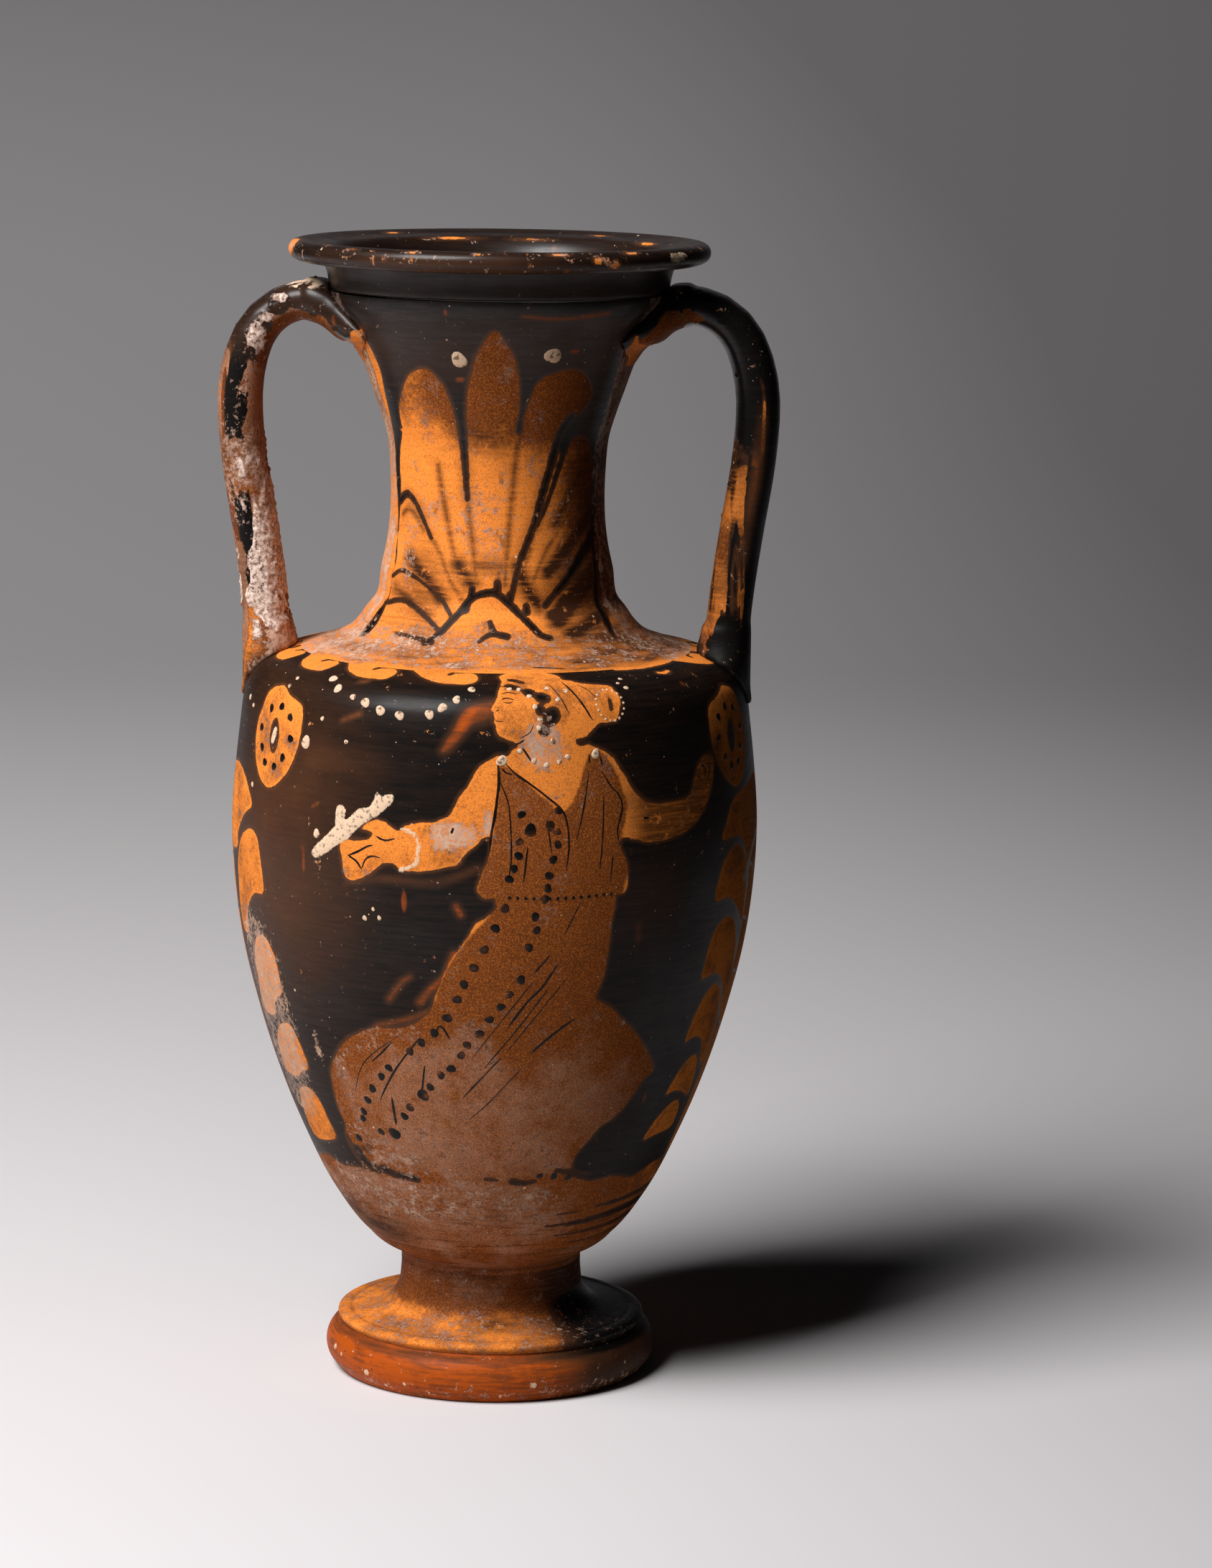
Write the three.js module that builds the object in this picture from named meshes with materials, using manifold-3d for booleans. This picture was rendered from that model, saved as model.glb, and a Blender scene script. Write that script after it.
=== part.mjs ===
// Red-figure neck amphora in fired clay, built from the pieces that a potter throws, pulls and lutes.
// Millimetres, +Z up. The origin is the centre of the resting ring, and the handles stand on -X and +X.

import * as THREE from "three";
import { mergeVertices } from "three/addons/utils/BufferGeometryUtils.js";
import Module from "manifold-3d";

const wasm = await Module();
wasm.setup();

// Facets and joints
const wheelFacets = 44; // facets round a wheel-thrown piece
const handleFacets = 16; // facets round a handle
const slipGap = 0.3; // the layer of slip between two joined pieces
const featherEdge = 0.6; // thickness of a luting coil where it runs out

// Foot: a disc with a rounded edge, a step and a short stem, hollow beneath
const footRadius = 51.2; // widest point of the rounded edge
const footHeight = 35; // resting plane to the top of the stem
const restingOuterRadius = 47.5;
const restingInnerRadius = 41;
const footEdgeHeight = 15; // the rounded edge, up to the step's groove
const footStepHeight = 18; // the shelf above the step
const footStepRadius = 47.6;
const stemRadius = 27.9;
const footRecessDepth = 25; // the hollow under the foot
const footRecessRadius = 13; // the hollow's flat top

// Body: belly and shoulder thrown as one piece
const bodyRadius = 80.7;
const bodyHeight = 193.5; // joint with the foot to the neck's seat
const bodySeatRadius = 23; // flat underside that stands on the stem
const bodyWall = 5;
const bodyFloor = 8;

// Neck: a waisted tube that flares to the mouth
const neckHeight = 105.6;
const neckWaistRadius = 32.6;
const neckBottomRadius = 37;
const neckTopRadius = 51.4;
const neckWall = 5;

// Mouth: a short collar under a flat lip
const mouthHeight = 15;
const lipRadius = 64;
const lipThickness = 6.2;
const collarFlare = 2.3; // how far the collar leans out below the lip
const lipDish = 2.4; // fall of the lip's top towards the mouth
const mouthWall = 5.4;

// Luting coils round the two wheel joints
const neckCoilHeight = 12.5; // up the neck
const neckCoilReach = 17; // out over the shoulder
const footCoilReach = 8; // out under the belly

// Handles: straps of an angular oval section, bent over from the neck to the shoulder's edge
const handleWidth = 20;
const handleNeckWidth = 27; // where it meets the neck
const handleThickness = 10.8; // over the crest
const handleRootThickness = 12.4; // down the leg to the shoulder
const handleInset = 1.8; // the strap's middle at its widest, in from the belly's widest
const handleBendDrop = 32.7; // neck's top down to the widest point
const handleCrestDrop = 3.3; // neck's top down to the strap's middle at the crest
const handleJointDrop = 7.1; // neck's top down to the strap's middle on the neck
const handleEmbed = 6; // how far the strap runs on into the shoulder before it is cut
const handleNeckDepth = 2.5; // how deep its line runs down inside the neck's wall
const handleRootShare = 0.872; // the strap's middle on the shoulder, in body radii
const ovalPower = 2.6; // 2 gives an ellipse, more gives squarer corners

// Luting round the handles' upper ends
const topLutingLength = 14; // along the strap from the neck
const topLutingSpread = 13; // to each side on the neck
const topLutingDrop = 16; // down the neck below the joint

// Luting round the handles' roots
const rootLutingLength = 11; // up the strap from the shoulder
const rootLutingSpread = 4; // to each side and inwards on the shoulder
const rootLutingTail = 13; // down over the shoulder's edge

// Finishes
const clay = { color: 0xb5642c, roughness: 0.7, metalness: 0 };
const blackGloss = { color: 0x1b1512, roughness: 0.34, metalness: 0 };
const wornGloss = { color: 0x3a2418, roughness: 0.45, metalness: 0 };

// Heights of the wheel joints
const bodyZ = footHeight + slipGap;
const seatZ = bodyZ + bodyHeight;
const neckZ = seatZ + slipGap;
const neckTopZ = neckZ + neckHeight;
const mouthZ = neckTopZ + slipGap;
const mouthTopZ = mouthZ + mouthHeight;

// Outlines run upwards as (radius, height), with the outside on their right
const at = (radius, height) => new THREE.Vector2(radius, height);
const mix = THREE.MathUtils.lerp;
const smooth = (points, count) => new THREE.SplineCurve(points).getPoints(count);

function arc(centre, reach, rise, fromDegrees, toDegrees, count) {
  return Array.from({ length: count + 1 }, (_, i) => {
    const angle = THREE.MathUtils.degToRad(mix(fromDegrees, toDegrees, i / count));
    return at(centre.x + reach * Math.cos(angle), centre.y + rise * Math.sin(angle));
  });
}

function offset(outline, distance) {
  return outline.map((point, i) => {
    const before = outline[Math.max(i - 1, 0)];
    const after = outline[Math.min(i + 1, outline.length - 1)];
    const way = after.clone().sub(before).normalize();
    return at(point.x + distance * way.y, point.y - distance * way.x);
  });
}

function radiusAt(outline, height) {
  const i = outline.findIndex((point) => point.y > height);
  const [low, high] = [outline[i - 1], outline[i]];
  return mix(low.x, high.x, (height - low.y) / (high.y - low.y));
}

function shoulderHeightAt(radius) {
  const i = bodyOutline.findLastIndex((point) => point.x > radius);
  const [outer, inner] = [bodyOutline[i], bodyOutline[i + 1]];
  return mix(outer.y, inner.y, (outer.x - radius) / (outer.x - inner.x));
}

function undersideHeightAt(radius) {
  const i = bodyOutline.findIndex((point) => point.x > radius);
  const [inner, outer] = [bodyOutline[i - 1], bodyOutline[i]];
  return mix(inner.y, outer.y, (radius - inner.x) / (outer.x - inner.x));
}

// Solids
function toSolid(geometry) {
  const bare = new THREE.BufferGeometry()
    .setAttribute("position", geometry.getAttribute("position"))
    .setIndex(geometry.index);
  const merged = mergeVertices(bare, slipGap / 100);
  return new wasm.Manifold(
    new wasm.Mesh({
      numProp: 3,
      vertProperties: merged.attributes.position.array,
      triVerts: new Uint32Array(merged.index.array),
    }),
  );
}

function toGeometry(solid) {
  const mesh = solid.getMesh();
  const geometry = new THREE.BufferGeometry()
    .setAttribute("position", new THREE.BufferAttribute(mesh.vertProperties, 3))
    .setIndex(new THREE.BufferAttribute(mesh.triVerts, 1));
  geometry.computeVertexNormals();
  return geometry;
}

const turned = (outline) => new THREE.LatheGeometry(outline, wheelFacets).rotateX(Math.PI / 2);

// A filled solid of revolution, one layer of slip larger than the outline, for cutting what is luted on to it
function cutter(outline) {
  const grown = offset(outline, slipGap);
  const [bottom, top] = [grown[0], grown.at(-1)];
  const [low, high] = [bottom.y - slipGap, top.y + slipGap];
  return toSolid(turned([at(0, low), at(bottom.x, low), ...grown, at(top.x, high), at(0, high)]));
}

function piece(name, geometry, finish) {
  const mesh = new THREE.Mesh(geometry, new THREE.MeshStandardMaterial(finish));
  mesh.name = name;
  return mesh;
}

// Foot
const footEdgeCentre = at((restingOuterRadius + restingInnerRadius) / 2, footEdgeHeight / 2);
const stemFlareShares = [
  [0.6, 0.03],
  [0.25, 0.14],
  [0.05, 0.42],
  [0, 0.8],
];
const footOutline = [
  at(restingOuterRadius, 0),
  ...arc(footEdgeCentre, footRadius - footEdgeCentre.x, footEdgeHeight / 2, -52, 74, 6),
  at(footStepRadius, mix(footEdgeHeight, footStepHeight, 0.3)),
  at(footStepRadius, mix(footEdgeHeight, footStepHeight, 0.8)),
  ...smooth(
    [
      at(footStepRadius - (footStepHeight - footEdgeHeight) / 2, footStepHeight),
      ...stemFlareShares.map(([r, z]) =>
        at(mix(stemRadius, footStepRadius, r), mix(footStepHeight, footHeight, z)),
      ),
      at(stemRadius, footHeight),
    ],
    8,
  ),
];

function makeFoot() {
  const recess = [
    at(0, footRecessDepth),
    at(footRecessRadius, footRecessDepth),
    at(mix(footRecessRadius, restingInnerRadius, 0.55), footRecessDepth / 2),
    at(restingInnerRadius, 0),
  ];
  return turned([...recess, ...footOutline, at(0, footHeight)]);
}

// Body: the underside is drawn in seat radii, the belly and the shoulder in body radii
const undersideShares = [
  [1.14, 0.022],
  [1.403, 0.0295],
  [1.607, 0.038],
];
const bellyShares = [
  [0.615, 0.123],
  [0.776, 0.265],
  [0.892, 0.407],
  [0.97, 0.546],
  [1, 0.687],
  [0.987, 0.798],
];
const shoulderShares = [
  [0.962, 0.892],
  [0.952, 0.918],
  [0.934, 0.942],
  [0.897, 0.962],
  [0.83, 0.977],
  [0.719, 0.988],
  [0.582, 0.996],
];
const bodyOutline = [
  at(bodySeatRadius, bodyZ),
  ...smooth(
    [
      ...undersideShares.map(([r, z]) => at(bodySeatRadius * r, bodyZ + bodyHeight * z)),
      ...[...bellyShares, ...shoulderShares].map(([r, z]) =>
        at(bodyRadius * r, bodyZ + bodyHeight * z),
      ),
      at(neckBottomRadius, seatZ),
    ],
    22,
  ),
];

function makeBody() {
  const throat = neckBottomRadius - neckWall;
  const floorZ = bodyZ + bodyFloor;
  const inner = offset(bodyOutline, -bodyWall).filter(
    (point, i) => i % 2 === 0 && point.y > floorZ + bodyWall && point.x > throat + bodyWall,
  );
  return turned([
    at(0, bodyZ),
    ...bodyOutline,
    at(throat, seatZ),
    at(throat, seatZ - bodyWall),
    ...inner.reverse(),
    at(bodySeatRadius, floorZ),
    at(0, floorZ),
  ]);
}

// Neck
const neckWaistShares = [
  [0.7, 0.185],
  [0.2, 0.293],
  [0, 0.41],
];
const neckFlareShares = [
  [0.055, 0.578],
  [0.24, 0.686],
  [0.52, 0.823],
];
const neckOutline = smooth(
  [
    at(neckBottomRadius, neckZ),
    ...neckWaistShares.map(([r, z]) =>
      at(mix(neckWaistRadius, neckBottomRadius, r), neckZ + neckHeight * z),
    ),
    ...neckFlareShares.map(([r, z]) =>
      at(mix(neckWaistRadius, neckTopRadius, r), neckZ + neckHeight * z),
    ),
    at(neckTopRadius, neckTopZ),
  ],
  12,
);

function makeNeck() {
  const inner = offset(neckOutline, -neckWall).filter(
    (point, i) => i % 2 === 1 && point.y > neckZ && point.y < neckTopZ - neckWall,
  );
  return turned([
    ...neckOutline,
    at(neckTopRadius - mouthWall, neckTopZ),
    ...inner.reverse(),
    at(neckBottomRadius - neckWall, neckZ),
    neckOutline[0],
  ]);
}

// Mouth
const lipCentre = at(lipRadius - lipThickness / 2, mouthTopZ - lipThickness / 2);
const mouthOutline = [
  at(neckTopRadius, mouthZ),
  at(neckTopRadius + collarFlare / 2, mix(mouthZ, lipCentre.y, 0.5)),
  at(neckTopRadius + collarFlare, lipCentre.y - lipThickness / 2),
  ...arc(lipCentre, lipThickness / 2, lipThickness / 2, -75, 90, 6),
];

function makeMouth() {
  const throat = neckTopRadius - mouthWall;
  return turned([
    ...mouthOutline,
    at(mix(throat, lipRadius, 0.55), mouthTopZ - lipDish / 2),
    at(mix(throat, lipRadius, 0.25), mouthTopZ - lipDish),
    at(mix(throat, lipRadius, 0.08), mix(mouthZ, mouthTopZ, 0.6)),
    at(throat, mouthZ),
    mouthOutline[0],
  ]);
}

// Luting coil in the angle between the neck and the shoulder
const neckCoilShares = [
  [0.7, 0.08],
  [0.47, 0.256],
  [0.294, 0.496],
  [0.147, 0.784],
];
const coilEdge = slipGap + featherEdge;
const neckCoilRadius = neckBottomRadius + neckCoilReach;
const neckCoilTopZ = neckZ + neckCoilHeight;
const neckCoilOutline = smooth(
  [
    at(neckCoilRadius, shoulderHeightAt(neckCoilRadius) + coilEdge),
    ...neckCoilShares.map(([r, z]) =>
      at(neckBottomRadius + neckCoilReach * r, seatZ + neckCoilHeight * z),
    ),
    at(radiusAt(neckOutline, neckCoilTopZ) + coilEdge, neckCoilTopZ),
  ],
  5,
);

function makeNeckCoil() {
  const [outer, top] = [neckCoilOutline[0], neckCoilOutline.at(-1)];
  const corner = at(neckBottomRadius + slipGap, seatZ + slipGap);
  const alongNeck = offset(neckOutline, slipGap).filter((p) => p.y > neckZ + slipGap && p.y < top.y);
  const alongShoulder = offset(bodyOutline, slipGap).filter(
    (p) => p.y > seatZ / 2 && p.x > corner.x + slipGap && p.x < outer.x,
  );
  return turned([
    ...neckCoilOutline,
    at(top.x - featherEdge, top.y),
    ...alongNeck.reverse(),
    corner,
    ...alongShoulder.reverse(),
    at(outer.x, outer.y - featherEdge),
    outer,
  ]);
}

// Luting coil in the angle between the stem and the belly
function makeFootCoil() {
  const reachRadius = stemRadius + footCoilReach;
  const reachZ = undersideHeightAt(reachRadius) - coilEdge;
  const innerRadius = bodySeatRadius + 2 * slipGap;
  const alongBelly = offset(bodyOutline, slipGap).filter(
    (p) => p.y < seatZ / 2 && p.x > innerRadius && p.x < reachRadius,
  );
  const outer = smooth(
    [
      at(stemRadius, bodyZ),
      at(mix(stemRadius, reachRadius, 0.06), mix(bodyZ, reachZ, 0.42)),
      at(mix(stemRadius, reachRadius, 0.5), mix(bodyZ, reachZ, 0.78)),
      at(reachRadius, reachZ),
    ],
    4,
  );
  const inner = [at(reachRadius, reachZ + featherEdge), ...alongBelly.reverse(), at(innerRadius, bodyZ)];
  return turned([...outer, ...inner, outer[0]]);
}

// The line of a handle's middle, in the XZ plane: out of the neck, over the crest and down to the shoulder
const archShares = [
  [0.13, 0.04],
  [0.296, 0],
  [0.49, 0.037],
  [0.69, 0.15],
  [0.855, 0.364],
  [0.957, 0.66],
];
const legShares = [
  [0.12, 0.22],
  [0.49, 0.477],
  [0.787, 0.696],
  [0.947, 0.863],
];
const handleReach = bodyRadius - handleInset;
const rootRadius = bodyRadius * handleRootShare;
const rootZ = shoulderHeightAt(rootRadius);
const jointZ = neckTopZ - handleJointDrop;
const jointRadius = radiusAt(neckOutline, jointZ);
const crestZ = neckTopZ - handleCrestDrop;
const bendZ = neckTopZ - handleBendDrop;
const insideNeck = (drop) =>
  at(radiusAt(neckOutline, jointZ - drop) - handleNeckDepth, jointZ - drop);
const handleLine = new THREE.CatmullRomCurve3(
  [
    insideNeck(topLutingDrop),
    insideNeck(topLutingDrop * 0.55),
    at(jointRadius, jointZ),
    ...archShares.map(([r, z]) => at(mix(jointRadius, handleReach, r), mix(crestZ, bendZ, z))),
    at(handleReach, bendZ),
    ...legShares.map(([r, z]) => at(mix(handleReach, rootRadius, r), mix(bendZ, rootZ, z))),
    at(rootRadius, rootZ),
    at(rootRadius, rootZ - handleEmbed),
  ].map((point) => new THREE.Vector3(point.x, 0, point.y)),
);
const lineLength = handleLine.getLength();
const jointShare = topLutingDrop / lineLength; // about where the line comes out of the neck

// Half sizes of the strap at a share of its line: outwards, inwards and to each side
function strapAt(share) {
  const towardsRoot = THREE.MathUtils.smoothstep(share, 0.2, 0.45);
  const towardsNeck = 1 - THREE.MathUtils.smoothstep(share, jointShare, 2.2 * jointShare);
  const thickness = mix(handleThickness, handleRootThickness, towardsRoot);
  const width = mix(handleWidth, handleNeckWidth, towardsNeck);
  const buried = THREE.MathUtils.smoothstep(jointShare - share, 0, jointShare / 2);
  return { out: thickness / 2, inn: mix(thickness / 2, handleNeckDepth, buried), side: width / 2 };
}

function grown(half, by) {
  return { out: half.out + by, inn: half.inn + by, side: half.side + by };
}

// A closed ring of an angular oval, round a middle point and square to a way, wrapped round the vessel by a share
function ovalRing(middle, way, half, wrap) {
  const squared = (value) => Math.sign(value) * Math.abs(value) ** (2 / ovalPower);
  return Array.from({ length: handleFacets }, (_, i) => {
    const angle = (i / handleFacets) * 2 * Math.PI;
    const [c, s] = [squared(Math.cos(angle)), squared(Math.sin(angle))];
    const outwards = c * (c > 0 ? half.out : half.inn);
    const sideways = s * half.side;
    const radius = middle.x - way.z * outwards;
    const turn = (wrap * sideways) / middle.x;
    return new THREE.Vector3(
      radius * Math.cos(turn),
      radius * Math.sin(turn) + (1 - wrap) * sideways,
      middle.z + way.x * outwards,
    );
  });
}

// Rings joined into one closed skin with a fan over each end
function loft(rings) {
  const count = handleFacets;
  const [first, last] = [rings[0], rings.at(-1)];
  const middleOf = (ring) =>
    ring.reduce((sum, point) => sum.add(point), new THREE.Vector3()).divideScalar(ring.length);
  const points = [...rings.flat(), middleOf(first), middleOf(last)];
  const [firstMiddle, lastMiddle] = [points.length - 2, points.length - 1];
  const lastStart = (rings.length - 1) * count;
  const faces = [];
  for (let k = 0; k < count; k += 1) {
    const next = (k + 1) % count;
    for (let row = 0; row < rings.length - 1; row += 1) {
      const [a, b] = [row * count + k, row * count + next];
      faces.push(a, b + count, b, a, a + count, b + count);
    }
    faces.push(firstMiddle, k, next, lastMiddle, lastStart + next, lastStart + k);
  }
  return new THREE.BufferGeometry().setFromPoints(points).setIndex(faces);
}

function strapRings(from, to, count, halfAt) {
  return Array.from({ length: count + 1 }, (_, i) => {
    const share = mix(from, to, i / count);
    const wrap = 1 - THREE.MathUtils.smoothstep(share, jointShare, 2 * jointShare);
    return ovalRing(handleLine.getPointAt(share), handleLine.getTangentAt(share), halfAt(share), wrap);
  });
}

const strap = (by) =>
  toSolid(loft(strapRings(jointShare / 2, 1, 24, (share) => grown(strapAt(share), by))));
const vessel = [bodyOutline, neckOutline, mouthOutline, neckCoilOutline]
  .map(cutter)
  .reduce((whole, next) => whole.add(next));

function makeHandle() {
  return toGeometry(strap(0).subtract(vessel));
}

// The luting at the neck: a collar round the strap that fans out on the neck and runs down it
function makeTopLuting() {
  const reach = jointShare + topLutingLength / lineLength;
  const halfAt = (share) => {
    const half = grown(strapAt(share), coilEdge);
    const fan = THREE.MathUtils.smoothstep(reach - share, 0, reach - jointShare / 2);
    const fall = THREE.MathUtils.smoothstep(jointShare - share, 0, jointShare);
    return {
      out: half.out,
      inn: mix(half.inn, handleNeckDepth + coilEdge, fall),
      side: (half.side + topLutingSpread * fan) * mix(1, 0.5, fall ** 2),
    };
  };
  const collar = toSolid(loft(strapRings(0, reach, 10, halfAt)));
  return toGeometry(collar.subtract(strap(slipGap)).subtract(vessel));
}

// The luting at the shoulder: a collar round the strap with a tail smeared over the shoulder's edge
function makeRootLuting() {
  const steps = 9;
  const down = new THREE.Vector3(0, 0, -1);
  const rings = Array.from({ length: steps + 1 }, (_, i) => {
    const z = mix(rootZ + rootLutingLength, rootZ - rootLutingTail, i / steps);
    const half = grown(strapAt(1), coilEdge);
    const wall = radiusAt(bodyOutline, Math.min(z, rootZ - handleEmbed)) + coilEdge - rootRadius;
    const fade = z > rootZ ? (1 - (z - rootZ) / rootLutingLength) ** 2 : 1;
    const depth = THREE.MathUtils.clamp((rootZ - z) / rootLutingTail, 0, 1);
    const middle = new THREE.Vector3(rootRadius, 0, z);
    const size = {
      out: Math.max(half.out, wall),
      inn: half.inn + rootLutingSpread * fade,
      side: (half.side + rootLutingSpread * fade) * mix(1, 0.5, depth ** 2),
    };
    return ovalRing(middle, down, size, z > rootZ ? fade : 1);
  });
  return toGeometry(toSolid(loft(rings)).subtract(strap(slipGap)).subtract(vessel));
}

// Assembly
const amphora = new THREE.Group();
amphora.add(
  piece("foot", makeFoot(), clay),
  piece("foot_luting", makeFootCoil(), wornGloss),
  piece("body", makeBody(), blackGloss),
  piece("neck_luting", makeNeckCoil(), clay),
  piece("neck", makeNeck(), blackGloss),
  piece("mouth_rim", makeMouth(), blackGloss),
);
for (const [side, turn] of [
  ["left", Math.PI],
  ["right", 0],
]) {
  const group = new THREE.Group();
  group.rotation.z = turn;
  group.add(
    piece(`handle_${side}`, makeHandle(), blackGloss),
    piece(`handle_${side}_top_luting`, makeTopLuting(), blackGloss),
    piece(`handle_${side}_root_luting`, makeRootLuting(), wornGloss),
  );
  amphora.add(group);
}

export default amphora;
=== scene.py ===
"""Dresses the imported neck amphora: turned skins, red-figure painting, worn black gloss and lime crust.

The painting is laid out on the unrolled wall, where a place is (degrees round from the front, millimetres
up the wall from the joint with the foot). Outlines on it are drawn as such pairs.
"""

from math import cos, pi, radians, sin

import bpy
import numpy as np
from mathutils import Matrix, Vector, noise


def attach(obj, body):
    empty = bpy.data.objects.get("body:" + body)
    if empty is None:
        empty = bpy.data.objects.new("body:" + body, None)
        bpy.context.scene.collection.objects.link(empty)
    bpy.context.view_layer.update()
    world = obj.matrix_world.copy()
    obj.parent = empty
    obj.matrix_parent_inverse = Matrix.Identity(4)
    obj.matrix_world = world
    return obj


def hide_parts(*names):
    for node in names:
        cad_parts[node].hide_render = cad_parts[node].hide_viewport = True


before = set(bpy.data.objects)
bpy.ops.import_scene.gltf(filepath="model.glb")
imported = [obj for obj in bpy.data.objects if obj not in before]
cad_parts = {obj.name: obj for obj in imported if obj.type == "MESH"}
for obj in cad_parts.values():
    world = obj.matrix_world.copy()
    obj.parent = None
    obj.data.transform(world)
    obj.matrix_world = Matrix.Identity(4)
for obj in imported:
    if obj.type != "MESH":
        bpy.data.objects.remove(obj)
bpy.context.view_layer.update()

bl_info = {
    "name": "Neck Amphora",
    "version": (1, 0, 0),
    "blender": (4, 5, 0),
    "location": "3D View > Sidebar > Amphora",
    "description": "Turns, paints and wears a red-figure neck amphora round its packed solids",
    "category": "Object",
}

MM = 0.001  # metres
REACH = 6.0  # mm over which a painted edge's distance is kept
CORNER = radians(38)  # a section turns sharper than this only at a real edge
WELD = 0.004 * MM  # vertices this close become one


# Sizes and colours that a user would change

def linear(*levels):
    """A screen colour, 0 to 255, as linear light."""
    parts = (level / 255 for level in levels)
    return tuple(p / 12.92 if p <= 0.04045 else ((p + 0.055) / 1.055) ** 2.4 for p in parts)


def colour(name, description, *levels):
    return bpy.props.FloatVectorProperty(
        name=name, description=description, subtype="COLOR", size=3, min=0, max=1, default=linear(*levels)
    )


def number(name, description, value, **kind):
    return bpy.props.FloatProperty(name=name, description=description, default=value, min=0, **kind)


def length(name, description, value):
    return number(name, description, value, unit="LENGTH", subtype="DISTANCE")


def power(name, description, value):
    return number(name, description, value, unit="POWER")


class AmphoraSizes(bpy.types.PropertyGroup):
    wall_step: length("Wall step", "Height of one row of the painted wall's skin", 0.95 * MM)
    coarse_step: length("Coarse step", "Height of one row where the wall isn't seen", 4 * MM)
    lip_step: length("Lip step", "Length of one step round the lip and the foot's edge", 0.6 * MM)
    handle_voxel: length("Handle voxel", "Fineness of the handles' skin", 0.55 * MM)
    line_height: length("Line height", "How far a slip line stands up from the wall", 0.11 * MM)
    dot_height: length("Dot height", "How far a dot of slip stands up from the wall", 0.28 * MM)
    crust_height: length("Crust height", "Thickness of the lime crust", 0.7 * MM)


class AmphoraColours(bpy.types.PropertyGroup):
    clay: colour("Clay", "Reserved clay where it is cleanest", 238, 138, 56)
    dull_clay: colour("Dull clay", "Clay under the worn wash of the garment", 124, 66, 28)
    grey_clay: colour("Grey clay", "Clay at its most worn", 156, 110, 86)
    dark_clay: colour("Dark clay", "Grime in the throwing marks", 62, 33, 18)
    mottle: colour("Mottle", "Grey deposit on worn clay", 150, 122, 110)
    gloss: colour("Gloss", "Black gloss at full strength", 15, 12, 11)
    brown_gloss: colour("Brown gloss", "Black gloss where it was brushed thin", 76, 46, 28)
    red_gloss: colour("Red gloss", "Gloss fired red at the edges", 168, 74, 18)
    # The wash also lays painted shade on the woman's far arm and on the foot's right side.
    wash: colour("Wash", "Thinned slip over clay", 58, 32, 18)
    cream: colour("Cream", "Added white paint", 214, 184, 156)
    crust: colour("Crust", "Lime crust", 222, 198, 184)
    bloom: colour("Bloom", "Pale dusty deposit on the clay", 204, 166, 142)


class AmphoraLight(bpy.types.PropertyGroup):
    key: power("Key", "Large lamp at the front left", 56)
    backdrop: power("Backdrop", "Lamp that lights only the paper behind the vessel", 14)
    world: number("World", "Even light from all round", 0.004, max=1)
    paper: colour("Paper", "Pale paper under the vessel", 216, 212, 213)
    bounce: colour("Bounce", "The paper's shade in the light that it throws back", 222, 216, 210)
    # The far and off shades of the paper are painted shade: the paper darkened towards the back, the right
    # and out of the picture, where the light would fall off.
    far_paper: colour("Far paper", "The paper's shade at the back", 139, 136, 138)
    off_paper: colour("Off paper", "The paper's shade out of the picture", 52, 51, 50)


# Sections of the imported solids

def section(name):
    """A turned node's half section in order, as (radius, height) in mm, from its lowest free end."""
    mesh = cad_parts[name].data
    on_plane = 0.01

    def place(index):
        x, y, z = mesh.vertices[index].co / MM
        return (round(-y, 2) + 0.0, round(z, 2)) if abs(x) < on_plane and y < on_plane else None

    links = {}
    for edge in mesh.edges:
        a, b = (place(index) for index in edge.vertices)
        if a and b and a != b:
            links.setdefault(a, set()).add(b)
            links.setdefault(b, set()).add(a)
    ends = [point for point in links if len(links[point]) == 1]
    line = [min(ends or links, key=lambda point: (point[1], point[0]))]
    while True:
        onward = [point for point in links[line[-1]] if point not in line]
        if not onward:
            return np.array(line)
        line.append(min(onward))


def run_of(points):
    """Length along a line up to each of its points."""
    return np.r_[0, np.cumsum(np.hypot(*np.diff(points, axis=0).T))]


def smooth_at(where, knots, values):
    """A smooth line through values at knots, read at each place, with its sharp corners kept."""
    step = np.diff(knots)[:, None]
    slope = np.diff(values, axis=0) / step
    way = slope / np.linalg.norm(slope, axis=1, keepdims=True)
    bend = np.arccos(np.clip(np.sum(way[:-1] * way[1:], axis=1), -1, 1))
    shared = (slope[:-1] * step[1:] + slope[1:] * step[:-1]) / (step[:-1] + step[1:])
    leave = slope.copy()
    arrive = slope.copy()
    soft = bend < CORNER
    arrive[:-1][soft] = shared[soft]
    leave[1:][soft] = shared[soft]
    k = np.clip(np.searchsorted(knots, where, side="right") - 1, 0, len(step) - 1)
    t = ((where - knots[k]) / step[k, 0])[:, None]
    rest = 1 - t
    run = step[k]
    return (
        values[k] * (1 + 2 * t) * rest**2
        + leave[k] * run * t * rest**2
        + values[k + 1] * t**2 * (3 - 2 * t)
        - arrive[k] * run * t**2 * rest
    )


def fine(points, step, closed=False):
    """A section drawn again in even steps, smooth between its corners."""
    if closed:
        points = np.vstack([points, points[:1]])
    knots = run_of(points)
    places = [np.linspace(a, b, max(1, round((b - a) / step)) + 1)[:-1] for a, b in zip(knots, knots[1:])]
    line = smooth_at(np.concatenate(places), knots, points)
    return line if closed else np.vstack([line, points[-1:]])


def sponged(points, passes):
    """A closed fine section with its edges softened, as a wet sponge leaves them."""
    for _ in range(passes):
        points = (np.roll(points, 1, axis=0) + 2 * points + np.roll(points, -1, axis=0)) / 4
    return points


BODY = section("body")
COIL = section("neck_luting")
NECK = section("neck")
MOUTH = section("mouth_rim")
FOOT = section("foot")
FOOT_COIL = section("foot_luting")

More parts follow.
